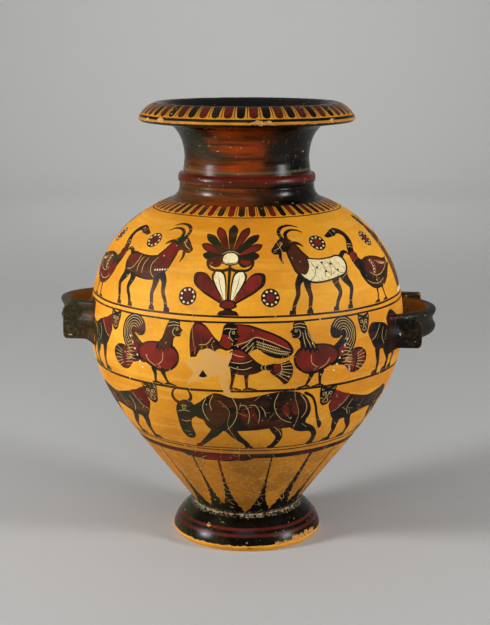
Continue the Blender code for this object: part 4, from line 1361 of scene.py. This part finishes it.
side_handles = {    # turn, front side, plate height, rise and roll, strap rise and roll
    "right_handle": (0.0, -1, 0.0247, 0.0046, radians(2.0), 0.0057, radians(-2.4)),
    "left_handle": (pi, 1, 0.0310, 0.0039, radians(3.5), 0.0099, radians(4.2))}
for name, (turn, front, plate_height, plate_rise, plate_roll, strap_rise, strap_roll) in side_handles.items():
    strap_centre = belly_level + strap_rise
    plate_centre = belly_level + plate_rise
    forms = [side_strap(name, strap_centre)]
    forms[0].data.transform(rolled_and_turned(strap_centre, strap_roll, turn))
    for word, side, corner_cut in (("near", front, near_corner_cut), ("far", -front, far_corner_cut)):
        plate = side_plate(name + "_" + word + "_plate", side, corner_cut, plate_height, plate_centre)
        plate.data.transform(rolled_and_turned(plate_centre, plate_roll, turn))
        forms.append(plate)
    handle = one_skin(name, forms, skin_grain, 4)
    brush_with_slip(handle, 0.25)
    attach(handle, "root")
    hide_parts("hydria")


# Back handle: a broad pulled strap that leaves the shoulder square to it and bows in to the neck
# under the lip, for pouring. It is hidden in front, so it is plain.
back_width = 0.0320
back_thickness = 0.0100
back_top_clearance = 0.0130
back_shoulder_radius = 0.1030
back_bow = 0.0360
back_shoulder_bow = 0.0420
back_grain = 0.0010
profile_points = 32

shoulder = body_outline()[:body_steps]
start_level = float(np.interp(back_shoulder_radius, shoulder[:, 0], shoulder[:, 1]))
step = 0.0005    # run along the shoulder that gives its slope there
fall = float(np.interp(back_shoulder_radius + step, shoulder[:, 0], shoulder[:, 1])) - start_level
square = Vector((-fall, step)).normalized()
end_level = neck_top - back_top_clearance
neck_curve = neck_outline()[::-1]
end_radius = float(np.interp(end_level, neck_curve[:, 1], neck_curve[:, 0])) - neck_wall / 2
start = Vector((back_shoulder_radius, start_level)) - square * wall / 2
pull = start + square * (back_shoulder_bow + wall / 2)
bpy.ops.curve.primitive_bezier_curve_add(location=(0, 0, 0))
back_handle = bpy.context.object
back_handle.name = "back_handle"
path = back_handle.data
path.splines[0].resolution_u = 40
first, last = path.splines[0].bezier_points
for knot in (first, last):
    knot.handle_left_type = knot.handle_right_type = "FREE"
first.co = (0, start[0], start[1])
first.handle_right = (0, pull[0], pull[1])
first.handle_left = first.co * 2 - first.handle_right
last.co = (0, end_radius, end_level)
last.handle_left = (0, end_radius + back_bow + neck_wall / 2, end_level)
last.handle_right = last.co * 2 - last.handle_left
bpy.ops.curve.primitive_nurbs_circle_add(location=(0, 0, 0))
profile = bpy.context.object
profile.data.splines.clear()
section = profile.data.splines.new("POLY")
section.points.add(profile_points - 1)
section.use_cyclic_u = True
for i, point in enumerate(section.points):
    turn = 2 * pi * i / profile_points
    spread = abs(cos(turn)) ** 0.5 * (1 if cos(turn) > 0 else -1)
    depth = abs(sin(turn)) ** 0.8 * (1 if sin(turn) > 0 else -1)
    point.co = (spread * back_width / 2, depth * back_thickness / 2, 0, 1)
path.bevel_mode = "OBJECT"
path.bevel_object = profile
path.use_fill_caps = True
bpy.ops.object.select_all(action="DESELECT")
back_handle.select_set(True)
bpy.context.view_layer.objects.active = back_handle
bpy.ops.object.convert(target="MESH")
back_handle = bpy.context.object
bpy.data.objects.remove(profile)
back_handle = one_skin("back_handle", [back_handle], back_grain, 3)
brush_with_slip(back_handle, 0.2)
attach(back_handle, "root")
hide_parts("hydria")


# Floor: a pale round sweep that rises into a wall all round. It is not part of the jar.
floor_radius = 2.6
bend_radius = 0.9
bend_steps = 12
wall_step = 0.9
bpy.ops.mesh.primitive_circle_add(vertices=96, radius=floor_radius, fill_type="NGON")
floor_sweep = bpy.context.object
floor_sweep.name = "floor_sweep"
bpy.context.tool_settings.mesh_select_mode = (False, True, False)
bpy.ops.object.mode_set(mode="EDIT")
bpy.ops.mesh.select_all(action="SELECT")
reach, rise = floor_radius, 0.0
for i in range(1, bend_steps + 3):
    turn = min(pi / 2, i * pi / (2 * bend_steps))
    next_reach = floor_radius + bend_radius * sin(turn)
    next_rise = bend_radius * (1 - cos(turn)) + max(0, i - bend_steps) * wall_step
    growth = next_reach / reach
    bpy.ops.mesh.extrude_region_move(TRANSFORM_OT_translate={"value": (0, 0, next_rise - rise)})
    bpy.ops.transform.resize(value=(growth, growth, 1), center_override=(0, 0, next_rise))
    reach, rise = next_reach, next_rise
bpy.ops.object.mode_set(mode="OBJECT")
floor_sweep.data.shade_smooth()
paper = bpy.data.materials.new("pale_paper")
paper.use_nodes = True
paper_shader = paper.node_tree.nodes["Principled BSDF"]
paper_shader.inputs["Base Color"].default_value = (0.48, 0.48, 0.475, 1.0)
paper_shader.inputs["Roughness"].default_value = 0.9
floor_sweep.data.materials.append(paper)


# Light: a softbox at each side and a little in front, a weak one above, one that lights the paper
# behind, and a dim grey room.
def softbox(name, turn, distance, height, width, tall, power, aim=(0, 0, 0.20)):
    lamp = bpy.data.lights.new(name, "AREA")
    lamp.shape = "RECTANGLE"
    lamp.size = width
    lamp.size_y = tall
    lamp.energy = power
    box = bpy.data.objects.new(name, lamp)
    bpy.context.collection.objects.link(box)
    box.location = (distance * sin(turn), -distance * cos(turn), height)
    beam = Vector(aim) - box.location
    box.rotation_euler = beam.to_track_quat("-Z", "Y").to_euler()
    box.visible_camera = False


softbox("left_softbox", radians(-64), 2.0, 0.80, 0.42, 0.5, 46.0)
softbox("right_softbox", radians(73), 2.0, 0.75, 0.42, 0.5, 31.0)
softbox("top_softbox", radians(4), 1.5, 1.7, 1.0, 0.5, 5.0)
softbox("paper_light", radians(186.5), 2.1, 1.5, 0.8, 0.8, 14.0, aim=(-0.36, 3.13, 0))
room = bpy.data.worlds.new("soft_room")
room.use_nodes = True
room.node_tree.nodes["Background"].inputs["Color"].default_value = (0.8, 0.8, 0.79, 1.0)
room.node_tree.nodes["Background"].inputs["Strength"].default_value = 0.20
bpy.context.scene.world = room
bpy.context.scene.view_settings.view_transform = "Standard"


# Camera: at the photo's angle, a little to the right, above the lip and looking down.
image_height, focal_pixels = 625, 1324
sensor_size = 36
camera_turn = radians(6.5)
camera_distance = 1.151
camera_height = 0.4428
camera_drop = radians(11.93)
camera_step_left = 0.0016
lens = bpy.data.cameras.new("camera")
lens.sensor_width = sensor_size
lens.lens = sensor_size * focal_pixels / image_height
camera = bpy.data.objects.new("camera", lens)
bpy.context.collection.objects.link(camera)
camera.location = (camera_distance * sin(camera_turn) - camera_step_left * cos(camera_turn),
                   -camera_distance * cos(camera_turn) - camera_step_left * sin(camera_turn), camera_height)
camera.rotation_euler = (pi / 2 - camera_drop, 0, camera_turn)
bpy.context.scene.camera = camera
